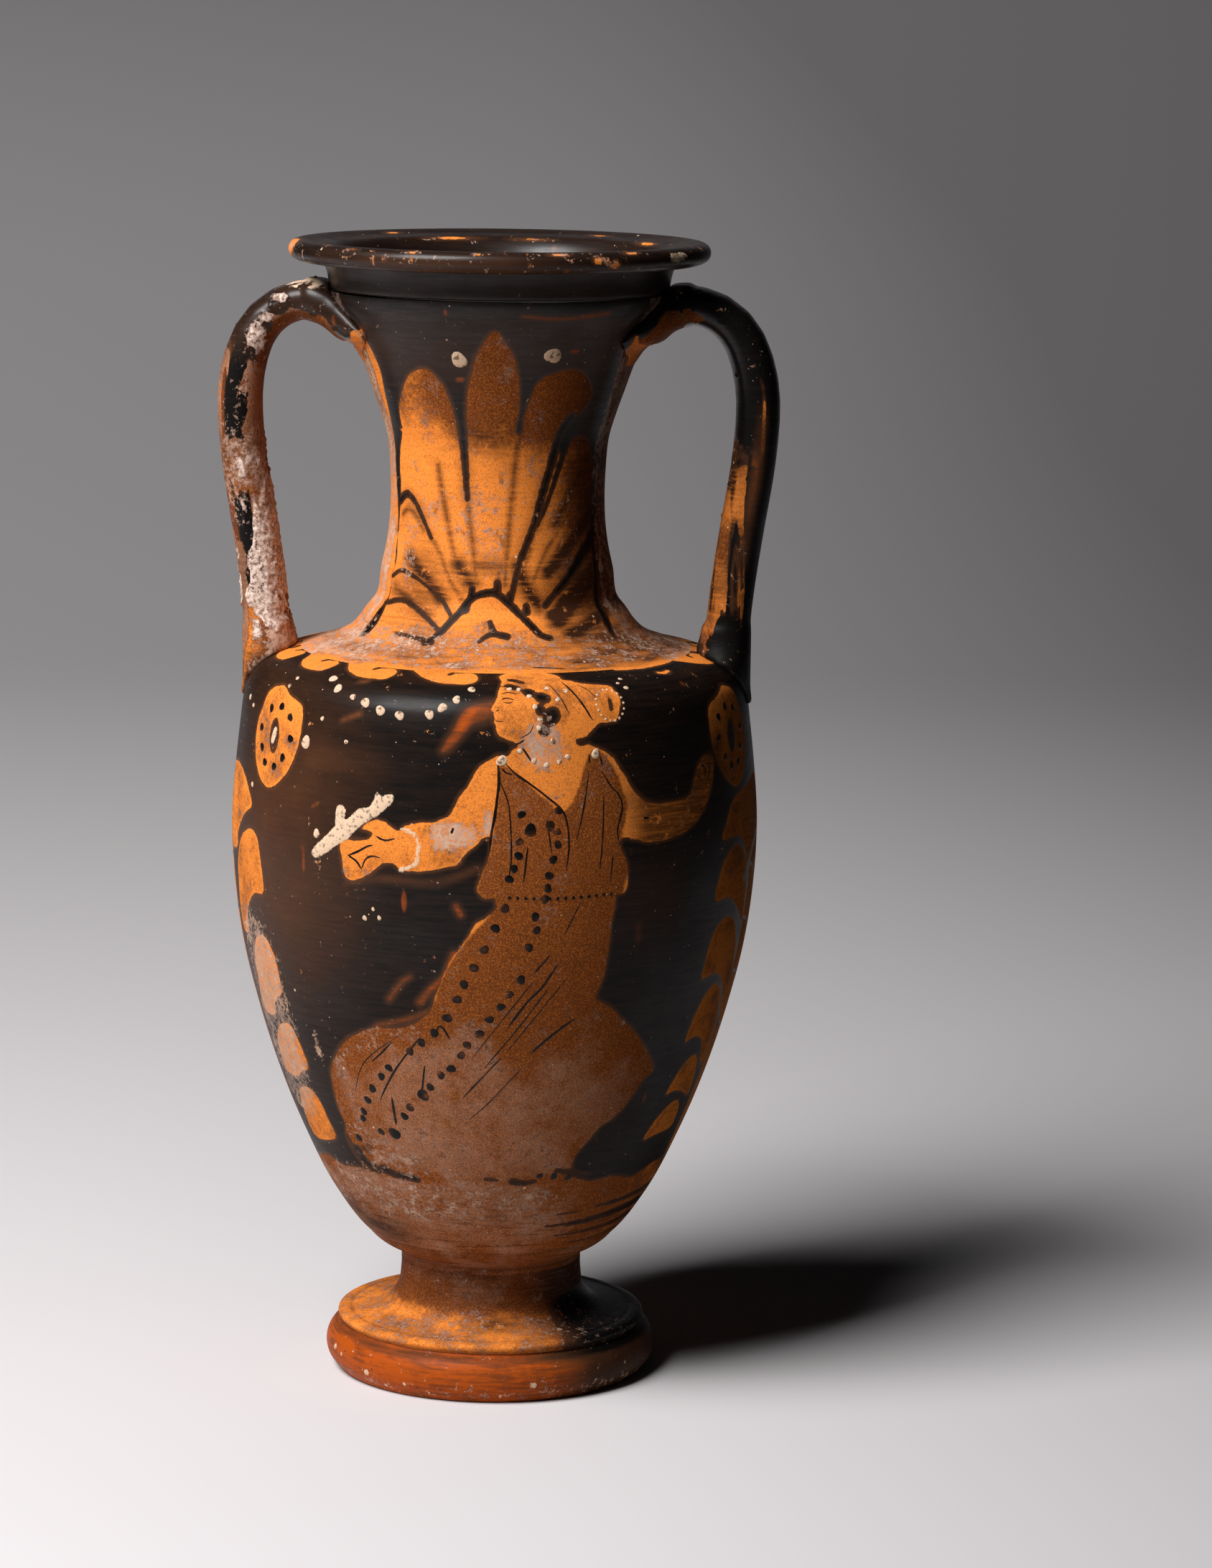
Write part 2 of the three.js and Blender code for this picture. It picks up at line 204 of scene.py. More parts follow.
body_top = int(np.argmax(np.where(BODY[:, 0] > COIL[0, 0], BODY[:, 1], 0)))
coil_outside = COIL[int(np.argmax(COIL[:, 1] + MM * COIL[:, 0])):][::-1]
neck_outside = NECK[int(np.argmax(NECK[:, 1] + MM * NECK[:, 0])):][::-1]
neck_outside = neck_outside[neck_outside[:, 1] > coil_outside[-1, 1]]
mouth_outside = MOUTH[int(np.argmax(MOUTH[:, 1])):][::-1]
WALL = np.vstack([BODY[1:body_top + 1], coil_outside, neck_outside, mouth_outside])
WALL_RUN = run_of(WALL)
SHOULDER_END = WALL_RUN[body_top - 1]
COIL_END = WALL_RUN[body_top + len(coil_outside)]
NECK_END = WALL_RUN[body_top + len(coil_outside) + len(neck_outside)]


def wall_at(up):
    """(radius, height) in mm of places up the wall."""
    return smooth_at(np.atleast_1d(np.asarray(up, float)), WALL_RUN, WALL)


def on_wall(turn, up, lift):
    """Places on the wall in metres, from degrees, mm up and mm out from it."""
    turn, up, lift = np.broadcast_arrays(np.atleast_1d(turn), np.atleast_1d(up), np.atleast_1d(lift))
    small = 0.2
    here = wall_at(up)
    along = wall_at(up + small) - wall_at(up - small)
    out = np.stack([along[:, 1], -along[:, 0]], -1) / np.linalg.norm(along, axis=1, keepdims=True)
    radius, height = (here + out * lift[:, None]).T
    angle = np.radians(turn)
    return np.stack([radius * np.sin(angle), -radius * np.cos(angle), height], -1) * MM


def neck_radius(height):
    """The neck's outer radius in mm at heights in mm."""
    return np.interp(height, neck_outside[:, 1], neck_outside[:, 0])


# Small helpers for pieces

def choose(*pieces):
    """Selects these pieces alone, and makes the first of them active."""
    if bpy.context.mode != "OBJECT":
        bpy.ops.object.mode_set(mode="OBJECT")
    bpy.ops.object.select_all(action="DESELECT")
    for piece in pieces:
        piece.select_set(True)
    if pieces:
        bpy.context.view_layer.objects.active = pieces[0]


def edit(piece, *steps):
    """Runs edit-mode steps on all of a piece."""
    choose(piece)
    bpy.ops.object.mode_set(mode="EDIT")
    bpy.ops.mesh.select_all(action="SELECT")
    for step in steps:
        step()
    bpy.ops.object.mode_set(mode="OBJECT")


def weld():
    bpy.ops.mesh.remove_doubles(threshold=WELD)


def face_out():
    bpy.ops.mesh.normals_make_consistent(inside=False)


def soften(piece, angle):
    choose(piece)
    bpy.ops.object.shade_smooth_by_angle(angle=radians(angle))


def modify(piece, kind, **settings):
    """Adds a modifier and applies it."""
    choose(piece)
    modifier = piece.modifiers.new(kind.title(), kind)
    for key, value in settings.items():
        setattr(modifier, key, value)
    bpy.ops.object.modifier_apply(modifier=modifier.name)


def join(name, pieces):
    choose(*pieces)
    if len(pieces) > 1:
        bpy.ops.object.join()
    pieces[0].name = name
    pieces[0].data.name = name
    return pieces[0]


def rows_of(piece, what):
    """One vector for each of a piece's vertices."""
    flat = np.zeros(3 * len(piece.data.vertices), np.float32)
    piece.data.vertices.foreach_get(what, flat)
    return flat.reshape(-1, 3).astype(float)


def places_of(piece):
    """A piece's vertices as rows of x, y, z in mm."""
    return rows_of(piece, "co") / MM


def rounds_of(piece):
    """Radius in mm, degrees round from the front and height in mm of a piece's vertices."""
    x, y, z = places_of(piece).T
    return np.hypot(x, y), np.degrees(np.arctan2(x, -y)), z


def degrees_from(turn, degree):
    """Degrees from a direction, the shorter way round."""
    return (turn - degree + 180) % 360 - 180


def move_to(piece, places):
    piece.data.vertices.foreach_set("co", (places * MM).astype(np.float32).ravel())
    piece.data.update()


def note(piece, **fields):
    """Stores numbers for each vertex under their names, for the finishes to read."""
    attributes = piece.data.attributes
    for name, values in fields.items():
        layer = attributes.get(name) or attributes.new(name, "FLOAT", "POINT")
        layer.data.foreach_set("value", np.broadcast_to(values, len(piece.data.vertices)).astype(np.float32))


def finish(piece, material, slot, *nodes, angle=50):
    """Softens a piece, and gives it its finish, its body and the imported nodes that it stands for."""
    soften(piece, angle)
    piece.data.materials.clear()
    piece.data.materials.append(material)
    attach(piece, "root")
    if nodes:
        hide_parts(*nodes)


def ease(value, low, high):
    """0 below low, 1 above high and smooth between."""
    t = np.clip((value - low) / (high - low), 0, 1)
    return t * t * (3 - 2 * t)


def near(value, middle, half):
    """1 in the middle, falling smoothly to 0 at half to each side."""
    return 1 - ease(np.abs(value - middle), 0, half)


def kept(distance):
    """A distance in mm, as far as it matters."""
    return np.clip(distance, -REACH, REACH)


# The wheel

def turned(name, outline, closed, sectors):
    """A section drawn as a line and turned about the axis, in sectors of (first degree, sweep, steps)."""
    pieces = []
    for first, sweep, steps in sectors:
        choose()
        bpy.ops.curve.primitive_nurbs_path_add()
        line = bpy.context.object
        line.data.splines.clear()
        spline = line.data.splines.new("POLY")
        spline.points.add(len(outline) - 1)
        spline.use_cyclic_u = closed
        start = radians(first)
        for point, (radius, height) in zip(spline.points, outline):
            point.co = (radius * MM * sin(start), -radius * MM * cos(start), height * MM, 1)
        bpy.ops.object.convert(target="MESH")
        wheel = {"angle": radians(sweep), "steps": steps, "render_steps": steps, "use_merge_vertices": False}
        modify(bpy.context.object, "SCREW", **wheel)
        pieces.append(bpy.context.object)
    piece = join(name, pieces)
    edit(piece, weld, face_out)
    return piece


# Painting

def brushed(points, closed, steps=4):
    """An outline with its corners rounded as a brush rounds them."""
    points = np.array(points, float)
    if closed:
        points = np.vstack([points[-1:], points, points[:2]])
    else:
        points = np.vstack([2 * points[0] - points[1], points, 2 * points[-1] - points[-2]])
    a, b, c, d = points[:-3], points[1:-2], points[2:-1], points[3:]
    line = []
    for k in range(steps):
        t = k / steps
        line.append(
            b + (c - a) * t / 2 + (2 * a - 5 * b + 4 * c - d) * t**2 / 2 + (3 * b - a - 3 * c + d) * t**3 / 2
        )
    line = np.stack(line, 1).reshape(-1, 2)
    return line if closed else np.vstack([line, points[-2:-1]])


class Painting:
    """Fields over a skin's outside, built up in the painter's order."""

    NAMES = ("clay", "tone", "thin", "wash", "rub", "white", "wheel")
    EDGES = ("clay", "white")  # these hold the distance inside a painted edge
    DEPTH = 2.5  # mm inside the wall's outline that still count as its outside

    def __init__(self, piece):
        radius, self.turn, height = rounds_of(piece)
        order = np.argsort(WALL[:, 1], kind="stable")
        self.piece = piece
        self.up = np.interp(height, WALL[order, 1], WALL_RUN[order])
        self.outside = radius > np.interp(self.up, WALL_RUN, WALL[:, 0]) - self.DEPTH
        self.degree = radians(1) * np.maximum(radius, 1)
        for name in self.NAMES:
            setattr(self, name, np.full(len(radius), -REACH if name in self.EDGES else 0.0))

    def at_least(self, name, *fields):
        """Raises a field wherever one of these is higher."""
        for values in fields:
            setattr(self, name, np.maximum(getattr(self, name), values))

    def distances(self, line, closed, margin):
        """Nearby vertices and their distance in mm to a line, positive inside a closed one."""
        low, high = line.min(0), line.max(0)
        side = margin / np.maximum(self.degree, 0.3)
        close = (
            self.outside
            & (self.turn > low[0] - side)
            & (self.turn < high[0] + side)
            & (self.up > low[1] - margin)
            & (self.up < high[1] + margin)
        )
        found = np.flatnonzero(close)
        ends = np.vstack([line, line[:1]]) if closed else line
        result = np.empty(len(found))
        block = 4096
        for first in range(0, len(found), block):
            part = found[first:first + block]
            px = (ends[None, :, 0] - self.turn[part, None]) * self.degree[part, None]
            py = ends[None, :, 1] - self.up[part, None]
            ax, ay, bx, by = px[:, :-1], py[:, :-1], px[:, 1:], py[:, 1:]
            dx, dy = bx - ax, by - ay
            t = np.clip(-(ax * dx + ay * dy) / np.maximum(dx**2 + dy**2, 1e-9), 0, 1)
            away = np.sqrt(((ax + t * dx) ** 2 + (ay + t * dy) ** 2).min(1))
            if closed:
                crosses = (ay > 0) != (by > 0)
                cut = ax - ay * dx / np.where(crosses, dy, 1)
                inside = np.sum(crosses & (cut > 0), axis=1) % 2 == 1
                away = np.where(inside, away, -away)
            result[first:first + block] = away
        return found, result

    def reserve(self, *outlines, steps=4):
        for outline in outlines:
            found, away = self.distances(brushed(outline, True, steps), True, REACH)
            self.clay[found] = np.maximum(self.clay[found], kept(away))

    def cover(self, *outlines):
        for outline in outlines:
            found, away = self.distances(brushed(outline, True), True, REACH)
            self.clay[found] = np.minimum(self.clay[found], -kept(away))

    def stroke(self, outline, width, end=None, reserved=False):
        """A brush stroke from one width to another, black or reserved."""
        line = brushed(outline, False)
        for half, part in stroke_parts(line, width, end):
            found, away = self.distances(part, False, half + 2)
            if reserved:
                self.clay[found] = np.maximum(self.clay[found], half - away)
            else:
                self.clay[found] = np.minimum(self.clay[found], away - half)

    def within(self, outline, width, margin):
        """Vertices and their distance inside an outline, or inside a line of a width."""
        if width is None:
            return self.distances(brushed(outline, True), True, margin)
        found, away = self.distances(brushed(outline, False), False, margin)
        return found, width / 2 - away

    def tint(self, name, outline, value, soft, width=None):
        """Raises a field inside an outline, or near a line of a width, with a soft edge."""
        found, away = self.within(outline, width, (width or 0) / 2 + soft)
        field = getattr(self, name)
        field[found] = np.maximum(field[found], value * ease(away, -soft, soft))

    def whiten(self, outline, width=None):
        found, away = self.within(outline, width, REACH)
        self.white[found] = np.maximum(self.white[found], kept(away))

    def keep(self):
        note(self.piece, **{name: getattr(self, name) for name in self.NAMES})


def stroke_parts(line, width, end, count=6):
    """A stroke in short lengths, each with its half width."""
    end = width if end is None else end
    cuts = np.linspace(0, len(line) - 1, count + 1).round().astype(int)
    for k, (a, b) in enumerate(zip(cuts, cuts[1:])):
        if b > a:
            yield (width + (end - width) * (k + 0.5) / count) / 2, line[a:b + 1]


def mirrored(outline, about=0.0):
    return [(2 * about - turn, up) for turn, up in outline]


def shifted(outline, by):
    return [(turn + by, up) for turn, up in outline]


def around(outline):
    """An outline and its copies a whole turn away, so that one of them lies within half a turn."""
    return [shifted(outline, by) for by in (-360, 0, 360)]


# The figure, drawn on the belly

HEAD = [
    (9.2, 189.6), (8.9, 191.6), (6.9, 192.9), (4.9, 193.9), (4.2, 195.6), (4.1, 197.2), (3.5, 198.1),
    (3.9, 198.9), (3.3, 199.7), (3.9, 200.7), (2.9, 201.7), (3.3, 203.2), (4.3, 205.6), (4.4, 207.6),
    (5, 210.4), (5.4, 213.2), (5, 216), (5.2, 218.7), (12, 222), (20.5, 218.5), (21.5, 214.5),
    (26, 212.4), (32, 209.9), (33, 207.1), (33.4, 203.8), (32.4, 199.9), (31.6, 197.7), (29.5, 197.2),
    (27, 197.1), (25.3, 194.9), (24, 193.2), (24.3, 190.5), (17, 187),
]
TORSO = [
    (8.5, 190.6), (6.8, 188.2), (4.4, 187.4), (4.7, 180.9), (4.3, 175.3), (3.9, 169.8), (3.3, 165),
    (3.2, 160.9), (2.5, 157), (1.3, 153.1), (0.4, 149.2), (0.9, 147.4), (2.1, 146.2), (4.2, 146),
    (5.5, 143), (16, 138), (29.6, 141), (29.7, 145.6), (32, 146.2), (33.1, 148.5), (32.9, 155.3),
    (31.2, 160.9), (32.5, 163.1), (38.5, 160.9), (44.5, 161.4), (49.7, 163.1), (54.8, 167.6),
    (58.3, 174.2), (59.6, 179.8), (59.6, 183.1), (56.5, 184.2), (54, 182), (52.2, 177.6), (50.5, 173.1),
    (44.5, 172), (38.5, 172.6), (35, 176.4), (32.4, 182.1), (29.9, 187.1), (27.4, 189.3), (24.9, 190.8),
    (17, 193),
]
LEFT_ARM = [
    (5.2, 187.6), (2.9, 187), (1.3, 185.6), (-0.4, 183.1), (-1.8, 179.2), (-3.6, 175.9), (-5.3, 170.9),
    (-6.9, 169.5), (-9.4, 168.1), (-11.8, 168), (-15.1, 166.7), (-16.3, 165.1), (-18.3, 166.2),
    (-20, 167.6), (-22.4, 167.6), (-25.3, 165.1), (-22.6, 164.2), (-22.8, 162.6), (-24.5, 161.4),
    (-29.3, 160.9), (-30.4, 159.2), (-30, 156.4), (-29.3, 150.9), (-28.1, 149.2), (-26.1, 149.5),
    (-24, 150.9), (-21.6, 153.4), (-20, 155.1), (-17.5, 155.3), (-15.9, 153.7), (-13.4, 153.4),
    (-10.2, 153.9), (-6.1, 155.1), (-3.6, 156.4), (-1.8, 159.8), (0, 161.7), (1.7, 164.2), (4.6, 166),
    (5.6, 176),
]
SKIRT = [
    (5.5, 147), (5.5, 145), (2.9, 140.9), (0.1, 138.5), (-1.7, 133.8), (-5.3, 126.8), (-7.2, 120.9),
    (-9, 115), (-10.4, 110.3), (-14.5, 105.6), (-19, 103.8), (-24.5, 103.2), (-29.9, 100.3),
    (-34.5, 96.2), (-38.6, 90.3), (-40.9, 85.6), (-41.8, 79.7), (-42.2, 72.6), (-41.3, 67.4),
    (-42.7, 62.1), (-41.8, 57.4), (-39, 52.6), (-35.4, 49.6), (-30, 44), (28, 44), (35.6, 49),
    (35.6, 51.5), (30.2, 53.2), (28.4, 56.2), (29.7, 60.9), (32, 64.4), (34.7, 69.1), (39.3, 72.6),
    (42.9, 78.5), (45.7, 84.4), (48.4, 86.8), (46.1, 91.5), (43.8, 95), (40.2, 100.3), (35.6, 105.6),
    (31.1, 110.9), (27.4, 114.4), (28.8, 120.9), (29.5, 130.3), (29.7, 137.4), (29.6, 147), (17, 149),
]
GARMENT = [
    (4.5, 187), (4.7, 180.9), (4.3, 175.3), (3.9, 169.8), (3.2, 160.9), (0.4, 149.2), (2.1, 146),
    (2.9, 140.9), (-1.7, 133.8), (-7.2, 120.9), (-10.4, 110.3), (-19, 103.8), (-34.5, 96.2), (-43, 82),
    (-44, 60), (-39, 46), (30, 46), (38, 60), (50, 86), (31, 112), (32, 146), (34, 155), (32, 163),
    (33, 175), (28.5, 187), (24.5, 188.5), (19, 172), (8, 184),
]
WORN_SKIRT = [
    (-5, 112), (-43, 92), (-44, 60), (-39, 44), (30, 44), (50, 86), (34, 108), (12, 104),
]
# Her far arm, where a dark wash is painted shade for the light falling off on the right
SHADED_RIGHT_ARM = [(36, 156), (50, 157), (62, 172), (63, 188), (50, 188), (47, 178), (37, 180)]
# Gloss brushed thin beside the face
FACE_THIN_GLOSS = [
    (-7.6, 189.3), (-6.6, 192.1), (-4.9, 196), (-3.6, 199.9), (-1.5, 202.7), (1.8, 203.5), (0.6, 201.6),
    (-1.1, 198.2), (-2.8, 194.9), (-5.7, 190.4),
]
HAIR = [
    [(5.6, 211), (6.6, 212.4), (8.8, 211.9), (10.2, 210.2), (9.4, 208.6), (7.9, 209), (6.9, 210.2)],
    [(10, 209.6), (11.9, 209.9), (13.4, 208.3), (12.9, 206.4), (11.2, 206), (10.2, 207.6)],
    [(12.6, 207.4), (14.4, 208), (16.4, 206.9), (16.6, 204.6), (14.8, 203.6), (13.1, 204.6)],
    [(13, 203.2), (14.6, 203.4), (15.4, 201), (14.2, 199.6), (12.9, 200.7)],
    [(14.6, 201.6), (17.4, 202.8), (18.6, 200.2), (17.6, 197.4), (15.4, 196.6), (14.3, 198.8)],
    [(13.4, 197), (15.2, 197.2), (16, 195.2), (14.8, 193.6), (13.4, 194.8)],
    [(7.1, 214), (6.8, 216), (8.9, 215.7), (10.8, 214), (11.5, 212.7), (10.2, 212.4), (8.5, 213.5)],
]
NAPE = [
    (21.5, 192.6), (24, 193.4), (26, 194.6), (29.5, 194.4), (33.5, 193.8), (34, 190.6), (30, 189.6),
    (26, 191.2), (22.5, 190.6),
]
BLOB_BEHIND_HEAD = [
    (20.9, 219.6), (23.2, 220.4), (26.1, 220), (29, 219.3), (32.4, 218.9), (34.9, 217.7), (38.3, 217.4),
    (42, 214), (38, 208), (32, 209.9), (30.3, 210.4), (27.8, 211.3), (24.9, 212.2), (22.8, 214),
    (21.1, 217.1),
]
PLANK = [
    (-38.1, 156.4), (-34.7, 160.9), (-32.2, 164.2), (-29.8, 166.4), (-28.1, 168.1), (-25.7, 170.9),
    (-23.6, 171.4), (-22.4, 174.2), (-22.4, 176.2), (-21.6, 176.2), (-20.8, 175), (-18.5, 175.9),
    (-17.9, 174.8), (-18.3, 172.8), (-20.4, 170.3), (-22.4, 168.4), (-24.5, 166.4), (-26.5, 164.2),
    (-28.1, 161.7), (-31, 159.2), (-33.8, 156.4), (-35.9, 154.8), (-37.3, 154.5),
]
# Thin brown smears in the gloss, as (line, strength, width)
SMEARS = [
    ([(-32, 196), (-27.5, 198.5)], 2, 1.2),
    ([(-41, 157), (-40.5, 150)], 2.1, 1.2),
    ([(-38.5, 169.5), (-37, 170.5)], 2.2, 1),
    ([(-31, 209.5), (-29, 210)], 2.1, 1),
    ([(-4, 143.5), (-3, 141)], 2.6, 1.4),
    ([(-29.5, 147.5), (-20, 150.5), (-8, 150.5), (0.5, 155)], 1.1, 2),
    ([(-20, 113), (-16.5, 119), (-14.5, 121)], 1.8, 1.6),
    ([(-12.5, 113), (-9.5, 118), (-6.5, 122), (-4.5, 129)], 2.2, 2),
    ([(-24, 104), (-15, 107.5), (-11, 110)], 2.1, 1.4),
    ([(36.5, 136), (36.8, 131.5)], 2, 1),
]
# Pale worn places, as (outline, strength, softness)
DUSTY = [
    ([(-9, 160), (-9, 169), (0, 168), (0, 161)], 1.35, 3),
    ([(1.3, 165), (1.3, 172), (3.7, 172), (3.7, 165)], 1.3, 1.5),
    ([(-38, 148), (-38, 160), (-29, 160), (-29, 148)], 0.5, 4),
    ([(12, 183), (9, 193), (13, 201), (20, 196), (20, 186)], 1.25, 4),
    ([(-14, 107), (-27, 103), (-40, 92), (-36, 88), (-20, 97), (-8, 101)], 0.9, 6),
    ([(-44, 100), (-46, 92), (-43, 88), (-42, 97)], 1.2, 2),
    ([(-40, 70), (-38, 50), (-14, 50), (-20, 62)], 1.1, 7),
    ([(-72, 128), (-72, 70), (-52, 70), (-54, 126)], 1.35, 6),
    ([(-75, 30), (-75, 52), (20, 52), (20, 36)], 0.92, 8),
]
LOW_ZONE_UP = 49.5  # mm up the wall, where the black ends
# What is left of the hem, and brush streaks below it, as (line, first width, last width)
HEM_REMAINS = [
    ([(-42.5, 63), (-40.6, 58), (-37.5, 54.5), (-33.5, 52.6), (-28, 51.2), (-20, 50.2)], 1.6, 3),
    ([(-40, 58), (-38, 54), (-34, 51.8)], 4.6, 3.4),
    ([(-31, 52.6), (-27, 50.8), (-23, 50.4)], 3.6, 1.6),
    ([(-37, 59.5), (-34.5, 57.5)], 1.6, 0.9),
    ([(2, 52), (6, 51.4)], 1.6, 0.9),
    ([(10.5, 51), (14, 50.2), (17.5, 50.8)], 2.8, 1.4),
    ([(24, 54.6), (29, 53), (35.5, 50.6), (44, 50.8)], 1.8, 3.4),
]
LOW_STREAKS = [
    ([(16, 31), (34, 31.6), (52, 33), (85, 35)], 0.7, 4.8),
    ([(28, 36.6), (50, 38), (85, 40)], 0.6, 3),
    ([(24, 26), (50, 27.2), (85, 28.6)], 0.5, 3.4),
    ([(34, 21.6), (56, 22.4), (85, 23.4)], 0.4, 2.2),
]
BRACELET = [(-15.9, 165.6), (-13.4, 164.8), (-12, 162), (-12.2, 158.7), (-12.8, 155.3), (-15.9, 153.7)]

# Border, rosettes and the fans under the handles

WAVE_TROUGH = [
    (-10.9, 221.6), (-6.9, 216.7), (-3.8, 213.8), (-0.3, 212.2), (4.2, 211.8), (8.1, 212.4), (9.2, 215.3),
    (8.4, 218.6), (6, 219.9), (3.3, 219.4), (1.4, 222), (0.6, 224.5), (-6, 225),
]
WAVE_CREST = [(1.2, 218.4), (3.3, 221.4), (7.7, 222.9), (11.2, 221.6), (13, 218)]
BORDER_UP = 222.6  # mm up the wall, where the reserved shoulder begins
FRONT_WAVES = (-76.5, -54.5, -33, -10)
BACK_WAVES = tuple(range(76, 270, 21))
ROSETTE = [
    (-63.1, 188), (-60.9, 195.5), (-59.2, 200.8), (-54.3, 203.4), (-49.8, 200.8), (-44.5, 197.9),
    (-44.1, 189.6), (-45.9, 181.4), (-49.8, 174.9), (-54.3, 172.2), (-58.7, 174.4), (-61.8, 180.2),
]
ROSETTE_MIDDLE = (-53.8, 188)
ROSETTE_AXIS = 7.7  # degrees about which the second rosette mirrors the first
ROSETTE_DOTS = [
    (-56.5, 195.8), (-52.2, 197), (-48.3, 194.4), (-47.4, 188.1), (-49.7, 182), (-52.7, 178.8),
    (-56.9, 179.3), (-58.9, 183.5), (-60.2, 189.3),
]
FAN_LEFT = [
    [(-90, 172), (-84, 174), (-80, 174.9), (-74.7, 175.8), (-69.8, 174.4), (-65.8, 171.4), (-61.6, 165.5),
     (-64.9, 162.6), (-68.5, 158.5), (-71.1, 154.4), (-72.9, 149.6), (-90, 150)],
    [(-72.5, 140.2), (-71.6, 146.1), (-69.4, 152), (-65.8, 156.1), (-61.4, 158.1), (-58.3, 156.1),
     (-56.9, 150.8), (-55.9, 140.2), (-60.5, 138.5), (-64, 135.5), (-66.7, 130.8), (-68.9, 123.8),
     (-73.5, 126)],
    [(-68, 110.2), (-66.7, 116.1), (-64, 122.6), (-60.5, 125.5), (-56.9, 124.9), (-54.3, 120.2),
     (-53.8, 114.4), (-54.3, 108.5), (-58.7, 104.9), (-62.3, 99.1), (-70, 100)],
    [(-65.4, 89.6), (-61.4, 95.5), (-56.9, 97.9), (-53.4, 97.3), (-51.2, 90.8), (-50.5, 84.4),
     (-54.3, 82.6), (-58.7, 79.6), (-67, 80)],
    [(-62.3, 72), (-57.8, 76.1), (-53.4, 76.7), (-50.3, 73.8), (-49, 67.3), (-49, 60), (-64, 58)],
]
FAN_RIGHT = [
    [(62, 157.5), (64, 163), (67.5, 168.5), (75, 171), (90, 172), (90, 150), (77, 147), (74, 153.5),
     (69, 157.5)],
    [(60.2, 139.2), (61, 146), (63, 151), (67, 154.3), (71, 154), (74, 150), (76.5, 144), (77, 136),
     (77, 129), (72, 134.5), (66.5, 139)],
    [(59, 115), (59.3, 122), (60.5, 128), (63, 131.5), (66.7, 132.8), (70.5, 131), (73.5, 126), (76, 118),
     (77, 108), (76, 100), (72, 109), (67, 114.6), (62, 115.2)],
    [(58.6, 94.3), (59.5, 101), (61.5, 107), (64, 110.5), (67, 111.3), (70, 109), (73, 103), (75, 95),
     (75, 84), (72, 84), (69, 90.5), (66, 94), (62, 95)],
    [(57, 76.5), (59, 82), (61.5, 86), (65, 88), (68, 87), (71, 81), (72, 73), (66, 75.5), (61, 77)],
    [(53.9, 61), (55, 65), (57.5, 69), (61, 72), (64.7, 72.8), (67.5, 70.5), (69, 66), (68, 62.5),
     (60, 61.8)],
]
FAN_HEART = [
    (78, 46), (77, 100), (79, 146), (84, 160), (90, 163), (96, 160), (101, 146), (103, 100), (102, 46),
]
HEART_VEINS = [
    ([(75, 143), (80, 150), (85, 154), (90, 155)], 2.6),
    ([(90, 48), (90, 152)], 2.2),
    *(([(90, low), (86, low + 9), (82.5, low + 14), (78.5, low + 16)], 1.8) for low in range(46, 132, 17)),
]

# The palmette on the neck

PETAL_LEFT = [
    (-13.4, 288), (-14.8, 295), (-16.2, 302.5), (-17.5, 308.8), (-19.3, 314.4), (-22.7, 319.4),
    (-28, 322.5), (-37, 320), (-44.2, 314.4), (-50.5, 308), (-51.8, 301.5), (-50, 290), (-30, 284),
]
PETAL_CENTRE = [
    (2.4, 336), (-1.2, 332.5), (-4.8, 327.5), (-7.5, 321), (-10.2, 313.8), (-11.4, 306), (-11.8, 300),
    (-11, 290), (10, 290), (12.9, 304), (13.3, 312), (12.6, 318.8), (10.4, 326), (6, 332.5),
]
PETAL_RIGHT = [
    (15.6, 302), (16.6, 309), (18.4, 314), (21, 318.8), (27.4, 321.5), (34.6, 322.5), (41.8, 321),
    (47.1, 317.5), (49.8, 313.8), (47.5, 309.8), (43, 307), (38.5, 303), (35, 297), (32, 290), (20, 288),
]
PALMETTE = [
    (-51.8, 301.8), (-53.1, 300.6), (-57.6, 296), (-59.8, 290), (-59.6, 282.5), (-60.5, 276), (-60, 268),
    (-57.6, 261), (-58.5, 255), (-59, 248), (-57, 240), (-54, 232), (0, 230), (52, 232), (56, 240),
    (59, 248), (61, 256), (62.3, 266), (63, 275), (62.6, 281), (64, 286), (64, 291), (61.4, 296),
    (56, 299), (48.9, 300.2), (43.5, 299), (39.5, 295), (35.5, 297), (30, 301), (15.6, 302.5),
    (14.2, 303.6), (12.9, 303), (-11.9, 302), (-11.6, 290), (-14.6, 290), (-16.2, 302.5),
]
# Ribs of the petals, as (line, first width, last width)
RIBS = [
    ([(-13.9, 305), (-13.8, 298), (-13, 289), (-12.2, 282)], 3.4, 1.5),
    ([(14.3, 306), (14.2, 303)], 2, 2.4),
    ([(-61.5, 279), (-53.1, 281.9), (-46, 280), (-39.7, 275.6), (-32.6, 269.4)], 2.9, 1.3),
    ([(-58.5, 256.5), (-50.5, 258.8), (-40.6, 257.5), (-31.7, 255), (-22.7, 251), (-15.9, 245.6)], 1.5, 1.3),
    ([(-60.5, 248), (-47.8, 250), (-38.8, 248.8), (-28, 245), (-19, 240.6)], 2, 1.6),
    ([(-40.8, 238.8), (-29.9, 238), (-21.8, 236.6)], 1, 2),
    ([(41, 307), (37, 303), (35, 298), (32, 291), (28.4, 284), (24.9, 277), (20.3, 270),
      (14.9, 262.5), (11.3, 254)], 3.6, 1.8),
    ([(42.5, 300), (37.4, 291), (31.2, 281), (25.4, 274)], 2.6, 1),
    ([(65.5, 271), (60, 268), (52.5, 264.6), (45.3, 260.5), (36.4, 255.5), (27.4, 250)], 5.6, 2),
    ([(58, 242), (60.5, 255), (63.5, 268), (64.5, 282)], 3.4, 2),
    ([(65, 292), (58, 300.5), (50, 303), (44, 302)], 2.4, 3),
]
